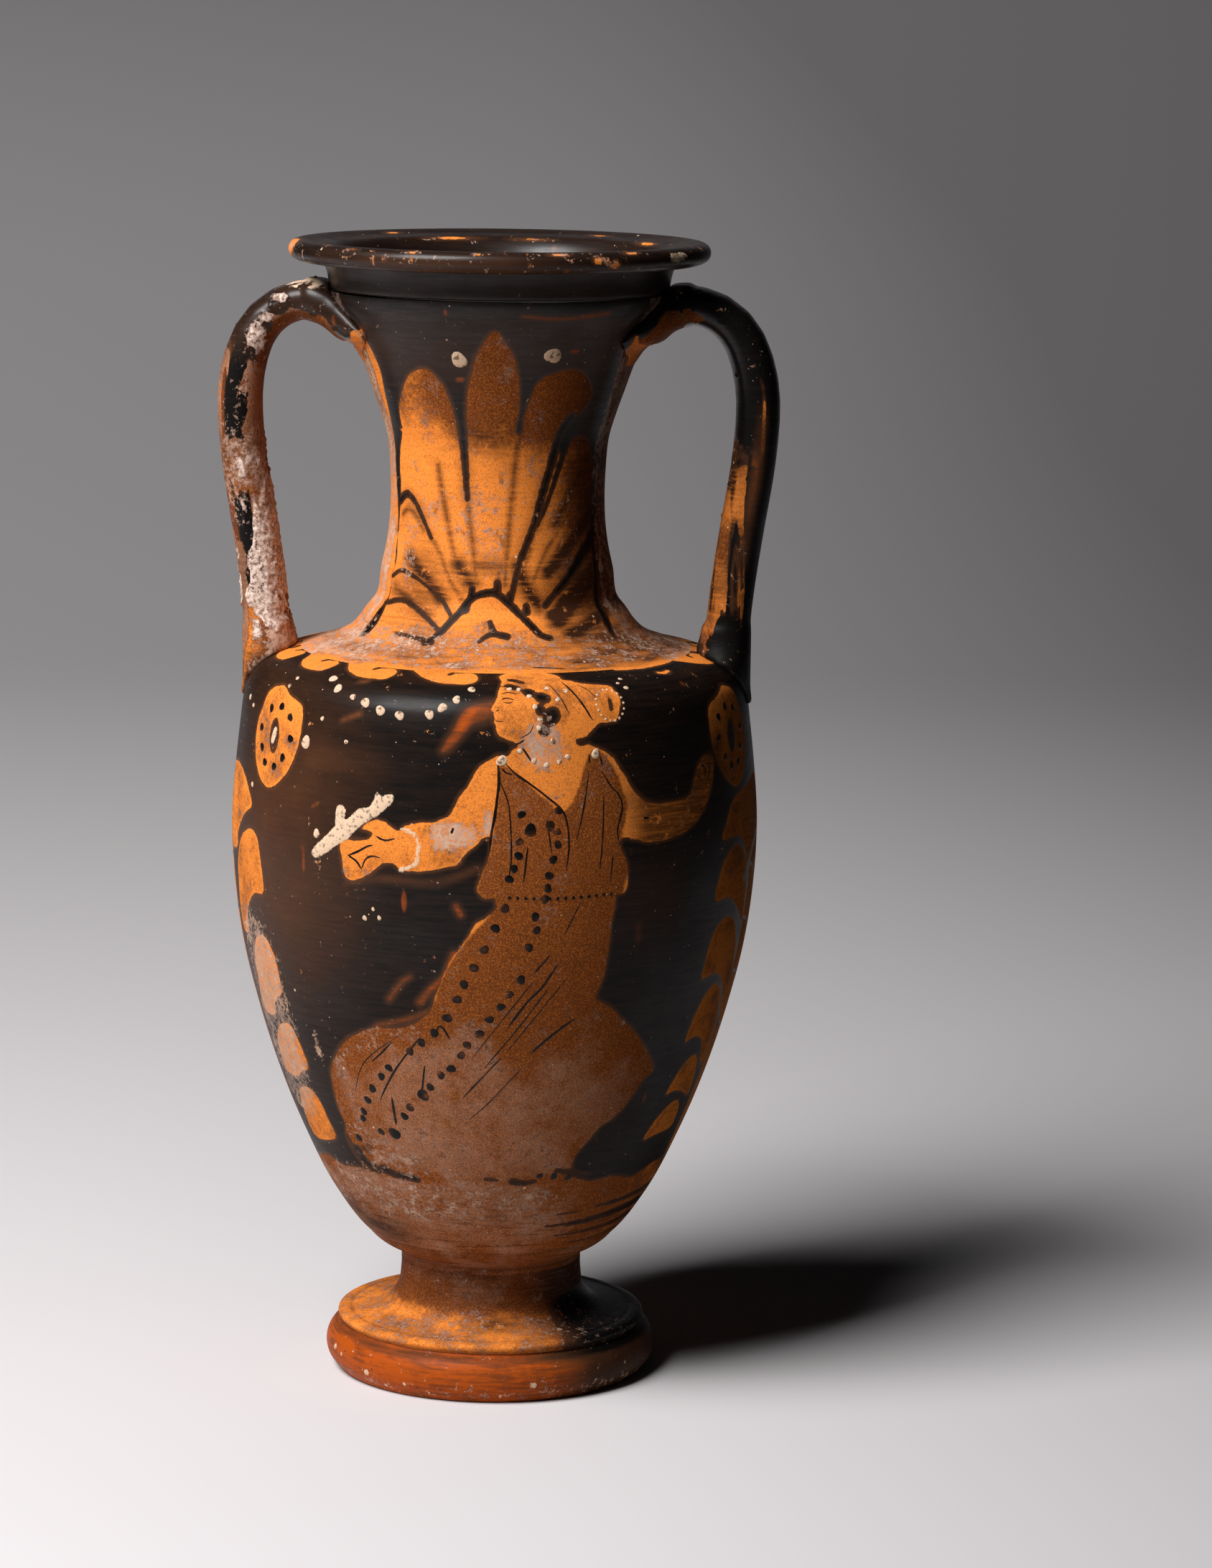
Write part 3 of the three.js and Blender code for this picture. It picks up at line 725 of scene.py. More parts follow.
FAINT_RIBS = [
    [(-12.4, 284), (-11, 277), (-8.4, 267), (-5.7, 256)],
    [(-33, 270), (-26.3, 265), (-19.1, 257), (-13, 252)],
    [(14.3, 303), (12.2, 287.5), (9.5, 270), (7.7, 256)],
    [(64, 281), (52.5, 281), (45.3, 277.5), (38.2, 272.5), (31, 267.5), (23.9, 260), (17.6, 252.5)],
    [(24.9, 273.8), (18.6, 263.5), (12.2, 253.8)],
    [(-56.7, 275.6), (-51.4, 277.6), (-45, 276), (-38, 271.5)],
    [(-29, 292), (-26, 282), (-20, 268), (-12, 256)],
    [(5, 262), (4.4, 256)],
    [(50, 255), (40, 251), (28, 245)],
    [(50, 276), (42, 271), (34, 265)],
]
# Washes smeared between the ribs, as (line, strength, width)
SMUDGES = [
    ([(62, 277), (45, 268), (30, 260)], 1.4, 5),
    ([(62, 260), (46, 253), (32, 246)], 1.6, 7),
    ([(62, 247), (48, 243), (36, 240)], 1.5, 5),
    ([(54, 290), (44, 282), (36, 274)], 1.1, 4),
    ([(14, 262), (18, 256), (24, 250)], 1.4, 4),
    ([(-16, 262), (-9, 257)], 1.2, 5),
    ([(-46, 263), (-34, 258), (-24, 252)], 1.3, 5),
    ([(-54, 253), (-40, 250), (-28, 246)], 1.1, 4),
    ([(-6, 262), (6, 262)], 0.9, 4),
]
CHEVRON = [
    (-24.5, 236), (-20, 240.2), (-14.5, 246.4), (-8.4, 252), (1.5, 254.2), (9.5, 251), (16.7, 245.6),
    (22, 240.6), (26, 238.9),
]
PALMETTE_HEART = [
    (CHEVRON, 2.5, 2.5),
    ([(1.2, 244.8), (2.6, 241.2)], 1.7, 2.2),
    ([(-2.8, 238), (0.5, 240.2), (4, 240.6), (8.4, 239.8)], 1.5, 2.7),
    *(
        ([knob, (knob[0], knob[1] - 2)], 2.4, 2.4)
        for knob in ((-8, 255), (4.2, 257), (-10.5, 250.6), (10.4, 253.6), (18, 250))
    ),
]
STRIP_LEFT = [
    (-60, 334), (-59.4, 331), (-56.9, 321), (-60.3, 311), (-63.9, 301), (-65.7, 292), (-65.7, 285),
    (-63.9, 279), (-62.1, 272), (-60.3, 265), (-58, 258), (-60, 250), (-60, 232), (-91, 232), (-91, 322),
    (-75, 326),
]
STRIP_RIGHT = [
    (62, 333), (65.9, 320), (68.6, 310), (72.2, 300), (74, 290), (70.4, 280), (67.4, 272), (64.5, 262),
    (62.5, 254), (62, 244), (60, 232), (91, 232), (91, 322), (75, 326),
]

# Lines of thick slip, each with its width in mm

LINES = [
    # garment border, neckline and side folds
    ([(4.5, 187), (4.8, 180.9), (4.4, 175.3), (3.9, 169.8), (3.3, 165.3), (3, 160)], 1.2),
    ([(4.9, 181), (6.6, 175.3), (7.2, 169.8), (7.5, 158.7), (7, 152)], 0.7),
    ([(6.2, 186), (8.1, 183.2), (11.5, 179.9), (15.2, 175.9), (18.3, 172), (19.4, 167.6), (19.7, 160.9),
      (19.1, 154.2)], 0.95),
    ([(5.4, 184.6), (6.4, 183.2), (7.7, 182.9)], 0.7),
    ([(24.6, 188.2), (24.6, 185.6)], 0.7),
    ([(27.2, 187.3), (27.6, 184.7)], 0.7),
    ([(24.4, 183.2), (23.6, 176.6), (22.6, 169.8), (21.3, 163.1)], 0.6),
    ([(27.4, 183.2), (29.5, 178.2), (31.1, 176), (32, 172), (30.7, 165.3), (31.2, 160.9)], 0.75),
    ([(27.7, 176.4), (27.3, 165.3), (26.4, 152)], 0.55),
    ([(10.9, 161.5), (10.1, 151)], 0.8),
    ([(15, 169.5), (15.9, 160)], 0.8),
    ([(29.6, 158), (29, 150)], 0.6),
    # hands and forearm
    ([(-28.3, 156.4), (-25.7, 158.1), (-23.6, 159.8), (-22.4, 160.2)], 0.9),
    ([(-28.5, 156.6), (-26.3, 155), (-25, 152.8)], 0.9),
    ([(-25, 152.8), (-24, 155.9), (-22.4, 157), (-20.6, 156.7)], 0.8),
    ([(-21.7, 163), (-19.6, 162), (-17.3, 162.8)], 0.8),
    ([(-4.7, 166.9), (-5.1, 165.2)], 1),
    ([(55, 181.5), (56.4, 180), (56, 177.5)], 0.8),
    ([(57.4, 182), (58, 179.6), (57, 177)], 0.7),
    ([(53.4, 178.6), (54.6, 177.2)], 0.7),
    ([(37.2, 168.1), (38.6, 168.2)], 0.9),
    # folds of the skirt
    ([(22.4, 144.4), (19.2, 135)], 0.5),
    ([(16.1, 128.5), (12.9, 123.2)], 0.9),
    ([(17.9, 125.6), (14.7, 118.5), (11.5, 113.8), (7.4, 105.6)], 1.1),
    ([(16, 118), (9.5, 105), (2, 92)], 0.55),
    ([(13, 121), (6, 108), (-1, 95)], 0.45),
    ([(20, 121), (13, 108), (7, 97)], 0.45),
    ([(22.9, 107.9), (19.2, 104.4), (15.6, 100.3), (12.9, 96.8)], 1.1),
    ([(6, 95.6), (0.1, 86.8), (-3.5, 81.5)], 0.8),
    ([(11, 92), (3, 80), (-2, 74)], 0.45),
    ([(-20.4, 99.1), (-23.6, 95), (-26.8, 91.5)], 0.8),
    ([(-13.1, 101.5), (-17.2, 95), (-20.8, 89.1), (-24.5, 82.1), (-26.3, 78.5)], 0.95),
    ([(-9.4, 102.6), (-8.1, 105.8), (-6, 101.6)], 0.9),
    ([(-12.6, 92), (-14.2, 81.6)], 0.8),
    ([(-22.7, 79.9), (-22.9, 70.1)], 1.3),
    ([(-18, 102), (-29, 91), (-34, 80)], 0.45),
    # face: lids, brow, nostril, lips, ear and jaw
    ([(5.3, 207.2), (6.9, 207.9), (8.9, 207.2)], 0.55),
    ([(5.2, 205), (6.5, 205.7), (8.2, 204.9)], 0.55),
    ([(5.6, 204.3), (6.8, 203.9), (7.9, 204.4)], 0.4),
    ([(4, 201.3), (4.7, 201.8)], 0.45),
    ([(3.9, 198.4), (5.5, 198.3)], 0.5),
    ([(9.3, 193.4), (11.4, 195), (12.3, 197.4)], 0.4),
    # neck rings
    ([(10.2, 192.9), (9.2, 192), (8.1, 191.6)], 0.8),
    ([(9.8, 190.5), (11, 188.2), (11.7, 186.6)], 0.8),
    # sakkos band and shoulder band strokes
    ([(20.7, 213), (21.9, 208.8), (23.2, 204.9), (25.3, 199.3), (25.9, 198)], 0.85),
    ([(16.8, 212.6), (18.8, 206), (20.4, 200.4)], 0.5),
    ([(24.4, 211), (26.6, 207.4), (27.6, 204.6)], 0.45),
    ([(14.8, 224.3), (20.2, 223.6), (24.9, 222.4)], 0.9),
]

# Dots, each with its radius in mm: black studs, chalky white dots and cream beads

DOTS = [
    (9.6, 171.1, 1.2), (11.5, 166.4, 1.9), (9.2, 163.1, 1.2), (9, 158.9, 1.3), (8.1, 155.1, 1.2),
    (7.1, 152, 1.3), (17.4, 172, 1.2), (15.7, 167.6, 1.5), (17.1, 165.9, 1.2), (17.3, 162, 1.2),
    (16.3, 157.6, 1.3), (15.5, 152.9, 1.3), (6.3, 143.2, 1.4), (4.3, 137.1, 1.4), (2, 130.5, 1.4),
    (-0.2, 124.8, 1.4), (-2.4, 119.5, 1.4), (-4, 114.6, 1.4), (-6.4, 108.4, 1.5), (-9.6, 103.2, 1.4),
    (-12.9, 99.7, 1.3), (-16, 96.5, 1.3), (-22.2, 90.1, 1.3), (-24.7, 86.8, 1.3), (-28.1, 82.1, 1.4),
    (-30.4, 77.7, 1.3), (-32.7, 73.2, 1.3), (-33.6, 70.6, 1.2), (-37.5, 62.9, 1.3), (-34.3, 60.3, 1.2),
    (-39.2, 57.1, 1.2), (15.2, 149.1, 1.3), (14.7, 145.8, 1.3), (12.7, 140.6, 1.3), (13.1, 136.4, 1.2),
    (11.5, 131.2, 1.3), (10, 121.1, 1.4), (7.5, 116.4, 1.3), (5.7, 112.4, 1.3), (3.2, 108.3, 1.3),
    (0.9, 103.5, 1.4), (-2, 99.7, 1.3), (-3.5, 96.2, 1.3), (-6.1, 91.5, 1.4), (-8.7, 89.1, 1.3),
    (-11.7, 84.8, 1.3), (-13.8, 81.8, 1.9), (-17.9, 77, 1.4), (-19.9, 73.6, 1.3), (-24, 66.8, 2),
    (-28.4, 66.8, 1.2), (23.4, 52.4, 1.2), (28.2, 51.5, 1.2), (18.8, 52.9, 1),
]
HEM_DOTS = [(7.2 + 1.7 * k, 146.4 - 0.5 * sin(k / 4), 0.55) for k in range(14)]
WHITE_DOTS = [
    (-39.4, 209.2, 1.5), (-35.7, 205.6, 1.5), (-30.4, 203.3, 1), (-26.7, 202, 1.5), (-22.5, 200, 1.5),
    (-17.7, 199, 1.4), (-10.8, 199.8, 1.4), (-8, 202, 1.4), (-5, 204.8, 1.3), (-1.8, 209, 1.2),
    (-42.1, 188, 1.9), (-24.5, 138, 0.8), (-21, 138.5, 0.7), (-22.4, 141, 0.6), (-36.9, 161.6, 1.3),
    (5.4, 186.8, 1.6), (26.1, 188.2, 1.4), (-12, 325.9, 2.5), (25.6, 327.5, 2.6),
]
CREAM_DOTS = [
    (7.2, 209.4, 0.8), (9.4, 209.2, 0.8), (11.7, 206.3, 0.8), (12.8, 202.7, 0.8), (13.8, 198.9, 0.8),
    (13.5, 196.3, 0.8), (16.3, 209.6, 0.8), (20.7, 208.2, 0.8), (18.2, 205, 0.8), (37.2, 212.7, 0.7),
    (36.6, 208, 0.8), (35.3, 210.4, 0.6), (9.2, 189.6, 0.8), (12.3, 186.7, 0.8), (15, 185.4, 0.8),
    (17.8, 186.4, 0.8), (19.7, 187.7, 0.8), (16.5, 192.4, 0.8), (-70.9, 196.4, 0.9), (-67.1, 194.6, 0.8),
    (-62.3, 171.4, 0.8), (-51, 206.7, 0.7), (-51.8, 203.6, 0.7), (-30.4, 189.8, 0.7), (-37.7, 195.7, 0.7),
]
# A ring of beads round the knot of hair
KNOT_DOTS = [(30.7 + 3.4 * cos(k * pi / 9), 202.7 + 5.2 * sin(k * pi / 9), 0.42) for k in range(18)]


def paint_figure(wall):
    """The running woman with her fluttering robe."""
    wall.reserve(HEAD, steps=3)
    wall.reserve(TORSO, LEFT_ARM, SKIRT)
    wall.cover(*HAIR, NAPE, BLOB_BEHIND_HEAD)
    wall.tint("tone", LEFT_ARM, 0.4, 1.5)
    wall.tint("tone", HEAD, 0.45, 1.5)
    # painted shade: a dark wash on her far arm, where the light falls off
    wall.tint("wash", SHADED_RIGHT_ARM, 0.85, 5)
    wall.tint("tone", GARMENT, 1, 1.4)
    wall.tint("tone", WORN_SKIRT, 1.55, 22)
    wall.tint("thin", FACE_THIN_GLOSS, 2.7, 3)
    wall.tint("thin", [(-5, 196), (3.5, 199), (3.5, 205), (-1, 203)], 1.6, 3)
    for smear, value, width in SMEARS:
        wall.tint("thin", smear, value, 2, width)
    wall.tint("wash", [(17, 214.6), (18.6, 214.9), (20, 214.8)], 0.7, 1, 1.2)
    wall.stroke([(30.7, 201), (30.8, 204.2)], 1.4)
    wall.whiten(PLANK)
    wall.whiten([(-30.6, 166.4), (-30.6, 169.4)], 3.6)
    wall.whiten(BRACELET, 1.3)
    for place, value, soft in DUSTY:
        wall.tint("rub", place, value, soft)


def paint_border(wall):
    """Running waves between the black belly and the reserved shoulder."""
    wall.at_least("clay", kept(wall.up - BORDER_UP - 0.5 * np.sin(np.radians(7 * wall.turn))))
    for middle in (*FRONT_WAVES, *BACK_WAVES):
        for trough, crest in zip(around(shifted(WAVE_TROUGH, middle)), around(shifted(WAVE_CREST, middle))):
            wall.reserve(trough)
            wall.stroke(crest, 1.6, 2.8)
    wall.reserve([(40, 219.2), (43, 221.4), (66, 222), (66, 219.8), (52, 218.4)])
    wall.stroke([(51, 214), (53, 213.6), (55.4, 214.2)], 1.6, reserved=True)
    wall.cover([(34, 225.6), (36.8, 227.2), (39.6, 226.2), (38, 224.6), (35.4, 224.6)])


def paint_rosette(wall, mirror):
    """A rosette before the woman, or its mirror image behind her."""
    outline, centre = ROSETTE, [ROSETTE_MIDDLE]
    if mirror:
        outline, centre = mirrored(outline, ROSETTE_AXIS), mirrored(centre, ROSETTE_AXIS)
    turn, up = centre[0]
    wall.reserve(outline)
    wall.cover([(turn + 2 * sin(k * pi / 4), up + 5.4 * cos(k * pi / 4)) for k in range(8)])
    wall.tint("tone", outline, 0.4, 1.5)
    if not mirror:
        wall.whiten([(turn - 0.3, up - 1.6), (turn + 0.3, up + 1.6)], 2.2)


def paint_fans(wall):
    """Nested petals round a veined leaf under each handle, alike in front and behind."""
    for petals, axis in ((FAN_LEFT, -90), (FAN_RIGHT, 90)):
        own_side = list if axis > 0 else mirrored
        for petal in petals:
            wall.reserve(petal, *around(mirrored(petal, axis)))
            wall.tint("tone", petal, 0.42, 2)
        wall.reserve(*around(own_side(FAN_HEART)))
        for vein, width in HEART_VEINS:
            for line in (vein, mirrored(vein, 90)):
                for copy in around(own_side(line)):
                    wall.stroke(copy, width, 0.6 * width)


def paint_lower_zone(wall):
    """Worn, brushed clay below the picture."""
    turn, up = wall.turn, wall.up
    edge = LOW_ZONE_UP + 1.6 * np.sin(np.radians(5 * turn)) + 0.9 * np.sin(np.radians(17 * turn + 40))
    low = 1 - ease(up, 48, 60)
    bands = near(up, 30, 2.2) + 0.8 * near(up, 25, 1.6) + 0.7 * near(up, 20.5, 1.3)
    wall.at_least("clay", kept(edge - up))
    wall.at_least("tone", (1.5 - 0.6 * near(up, 4, 14) - 0.9 * near(turn, 75, 65)) * low)
    wall.at_least(
        "wash",
        0.8 * bands * near(turn, 80, 62),
        0.2 * near(up, 12, 8),
        0.8 * near(turn, -60, 22) * near(up, 31, 12),
        0.95 * near(turn, -46, 28) * near(up, 26, 10),
    )
    wall.at_least("wheel", 1 - ease(up, 30, 52), 0.7 * near(np.abs(turn), 90, 34) * (1 - ease(up, 160, 180)))
    for line, start, end in (*HEM_REMAINS, *LOW_STREAKS):
        wall.stroke(line, start, end)
    wall.tint("wash", [(4.6, 37.4), (8.2, 37.4)], 1, 0.8, 0.8)


def paint_gloss_wear(wall):
    """Where the black gloss is brushed thin, and where it is rubbed."""
    turn, up = wall.turn, wall.up
    wall.at_least(
        "thin",
        1.05 * (near(turn, -52, 44) * near(up, 158, 88)),
        near(turn, -40, 30) * near(up, 184, 12),
        0.1 + 0.25 * near(turn, -80, 75),
        0.35 * near(turn, 40, 20) * near(up, 142, 30),
    )
    wall.at_least(
        "rub",
        0.28 * near(turn, -45, 45),
        0.34 * near(up, 60, 22) * near(turn, -45, 30),
        0.35 * near(turn, -50, 8) * near(up, 62, 14),
        0.25 * near(up, 205, 14),
        0.32,
    )


def paint_belly(wall):
    paint_fans(wall)
    paint_rosette(wall, False)
    paint_rosette(wall, True)
    paint_figure(wall)
    paint_border(wall)
    wall.cover(HAIR[-1])  # the forelock lies over the border
    paint_lower_zone(wall)
    paint_gloss_wear(wall)


def paint_shoulder(wall):
    """The streaky reserved band round the neck's foot."""
    turn, up = wall.turn, wall.up
    band = ease(up, 219, 224) * (1 - ease(up, 236, 250))
    wall.at_least("tone", 0.5 * band)
    wall.at_least("rub", (0.95 + 0.3 * near(turn, -70, 50)) * band)
    wall.at_least(
        "wash",
        0.45 * near(up, 230, 5) * (1 - near(turn, 0, 30)),
        # darker towards the right of the front
        0.85 * band * ease(turn, 16, 46) * (1 - ease(turn, 90, 120)),
    )
    wall.at_least("wheel", 0.8 * band)


def paint_neck(wall):
    """A palmette in front and behind, with a reserved strip under each handle."""
    turn, up = wall.turn, wall.up
    for flip in (0, 180):
        for petal in (PALMETTE, PETAL_LEFT, PETAL_CENTRE, PETAL_RIGHT):
            wall.reserve(*around(shifted(petal, flip)))
    shoulder = 236 + 3 * np.sin(np.radians(3 * turn))
    wall.at_least("clay", kept(shoulder - up))
    for strip, axis in ((STRIP_LEFT, -90), (STRIP_RIGHT, 90)):
        wall.reserve(strip, *around(mirrored(strip, axis)))
    for flip in (-360, -180, 0, 180):
        for rib, start, end in RIBS:
            wall.stroke(shifted(rib, flip), start, end)
            wall.tint("wash", shifted(rib, flip), 0.7, 2.6, start)
        for rib in FAINT_RIBS:
            wall.tint("wash", shifted(rib, flip), 1, 1.5, 1.5)
        for smudge, value, width in SMUDGES:
            wall.tint("wash", shifted(smudge, flip), value, 3.5, width)
        for line, start, end in PALMETTE_HEART:
            wall.stroke(shifted(line, flip), start, end)
    wall.cover([(-62.5, 236), (-61.5, 247), (-57, 246), (-56, 240), (-58, 235)])
    wall.tint("thin", [(12, 341), (26, 340), (44, 341.5)], 2.3, 1.6, 1)
    wall.tint("thin", [(-13.5, 319.4), (-11.5, 319.4)], 2.3, 0.7, 1.2)
    wall.tint("thin", [(33.5, 328.8), (36, 328.8)], 1.8, 0.8, 1.6)
    # from here on, degrees from the middle of the front or of the back
    front = (turn + 90) % 180 - 90
    aside = np.abs(front)
    high = ease(up + 0.1 * front, 286, 314) * (aside < 56)
    # darker towards the right of the front, in tone and in wash
    right = ease(turn, 18, 60) * ease(up, 238, 250) * (turn < 90)
    strips = ease(aside, 62, 68) * ease(up, 270, 320)
    worn = near(up, 276, 34) * (1 - ease(aside, 45, 66))
    wall.at_least(
        "tone",
        (1.05 - 0.45 * near(front, -38, 22)) * high,
        0.4 * ease(aside, 60, 66) + 0.6 * strips,
        0.9 * right,
    )
    wall.at_least(
        "rub",
        1.15 * ease(aside, 62, 66) + 0.2 * strips,
        0.65 * worn,
        1.2 * near(front, -47, 14) * near(up, 262, 16),
        0.35,
    )
    wall.at_least(
        "wash",
        0.8 * right,
        0.75 * near(up, 256, 20) * near(front, -36, 26),
        near(up, 256, 24) * near(front, 44, 28),
        0.75 * near(up, 300, 8) * near(front, -2, 26),
    )
    # the gloss lighter and browner towards the top of the neck
    wall.at_least("thin", 0.4 * near(up, 328, 24))
    wall.at_least("wheel", 0.12)
    paint_shoulder(wall)
    wall.rub = np.where(wall.outside, wall.rub, 0.3)
    wall.wash = np.where(wall.outside, wall.wash, 0.2)


# Finishes

class Value:
    """A number that varies over a surface. Sums on values add Math nodes to the finish."""

    def __init__(self, recipe, socket):
        self.recipe = recipe
        self.socket = socket

    def math(self, operation, *others, clamp=False):
        inputs = dict(enumerate((self, *others)))
        node = self.recipe.node("Math", {"operation": operation, "use_clamp": clamp}, inputs)
        return Value(self.recipe, node.outputs[0])

    def __add__(self, other):
        return self.math("ADD", other)

    def __sub__(self, other):
        return self.math("SUBTRACT", other)

    def __rsub__(self, other):
        return self.math("MULTIPLY_ADD", -1.0, other)

    def __mul__(self, other):
        return self.math("MULTIPLY", other)

    __radd__ = __add__
    __rmul__ = __mul__

    def most(self, other):
        return self.math("MAXIMUM", other)

    def least(self, other):
        return self.math("MINIMUM", other)

    def step(self, low, high):
        """0 below low, 1 above high and smooth between."""
        node = self.recipe.node(
            "MapRange",
            {"interpolation_type": "SMOOTHSTEP"},
            {"Value": self, "From Min": low, "From Max": high},
        )
        return Value(self.recipe, node.outputs[0])


class Recipe:
    """A finish under construction."""

    def __init__(self, name):
        self.material = bpy.data.materials.new(name)
        self.material.use_nodes = True
        self.tree = self.material.node_tree
        self.tree.nodes.clear()
        self.place = self.node("TexCoord").outputs["Object"]

    def node(self, kind, settings=None, inputs=None):
        """Adds a node, sets it up, and fills or links its sockets."""
        node = self.tree.nodes.new("ShaderNode" + kind)
        for key, value in (settings or {}).items():
            setattr(node, key, value)
        for key, value in (inputs or {}).items():
            socket = node.inputs[key]
            if isinstance(value, Value):
                value = value.socket
            if isinstance(value, bpy.types.NodeSocket):
                self.tree.links.new(value, socket)
            elif socket.type == "RGBA":
                socket.default_value = (*value, 1)
            else:
                socket.default_value = value
        return node

    def field(self, name):
        node = self.node("Attribute", {"attribute_type": "GEOMETRY", "attribute_name": name})
        return Value(self, node.outputs["Fac"])

    def axes(self):
        node = self.node("SeparateXYZ", {}, {0: self.place})
        return [Value(self, output) for output in node.outputs]

    def placed(self, stretch, shift):
        inputs = {"Vector": self.place, "Scale": stretch, "Location": (shift,) * 3}
        return self.node("Mapping", {}, inputs).outputs[0]

    def grain(self, size, detail=2.0, roughness=0.5, stretch=(1, 1, 1), shift=0.0):
        """Noise whose features are about a size in mm, shorter where stretch is large."""
        inputs = {
            "Vector": self.placed(stretch, shift),
            "Scale": 1 / (size * MM),
            "Detail": detail,
            "Roughness": roughness,
        }
        return Value(self, self.node("TexNoise", {}, inputs).outputs[0])

    def specks(self, cell, radius, chance, stretch=(1, 1, 1), shift=0.0):
        """Scattered dots of a radius in mm, at most one to a cell in mm, in a share of the cells."""
        scale = 1 / (cell * MM)
        node = self.node("TexVoronoi", {}, {"Vector": self.placed(stretch, shift), "Scale": scale})
        away = Value(self, node.outputs["Distance"])
        draw = Value(self, self.node("SeparateColor", {}, {0: node.outputs["Color"]}).outputs[0])
        dot = 1.0 - away.step(0.7 * radius / cell, 1.3 * radius / cell)
        return dot * (draw + chance).step(0.995, 1.0)

    def blend(self, factor, first, second):
        node = self.node("Mix", {"data_type": "RGBA", "clamp_factor": True}, {0: factor, 6: first, 7: second})
        return node.outputs[2]

    def surface(self, base, roughness, height, bump, depth, coat=0.0):
        """The shader, with its grain as bump: depth is in mm."""
        normal = self.node("Bump", {}, {"Height": height, "Strength": bump, "Distance": depth * MM})
        inputs = {
            "Base Color": base,
            "Roughness": roughness,
            "Normal": normal.outputs[0],
            "Specular IOR Level": 0.06,
            "Coat IOR": 1.3,
            "Coat Weight": coat,
            "Coat Roughness": 0.3,
        }
        shader = self.node("BsdfPrincipled", {}, inputs)
        out = self.node("OutputMaterial")
        self.tree.links.new(shader.outputs[0], out.inputs[0])
        return self.material


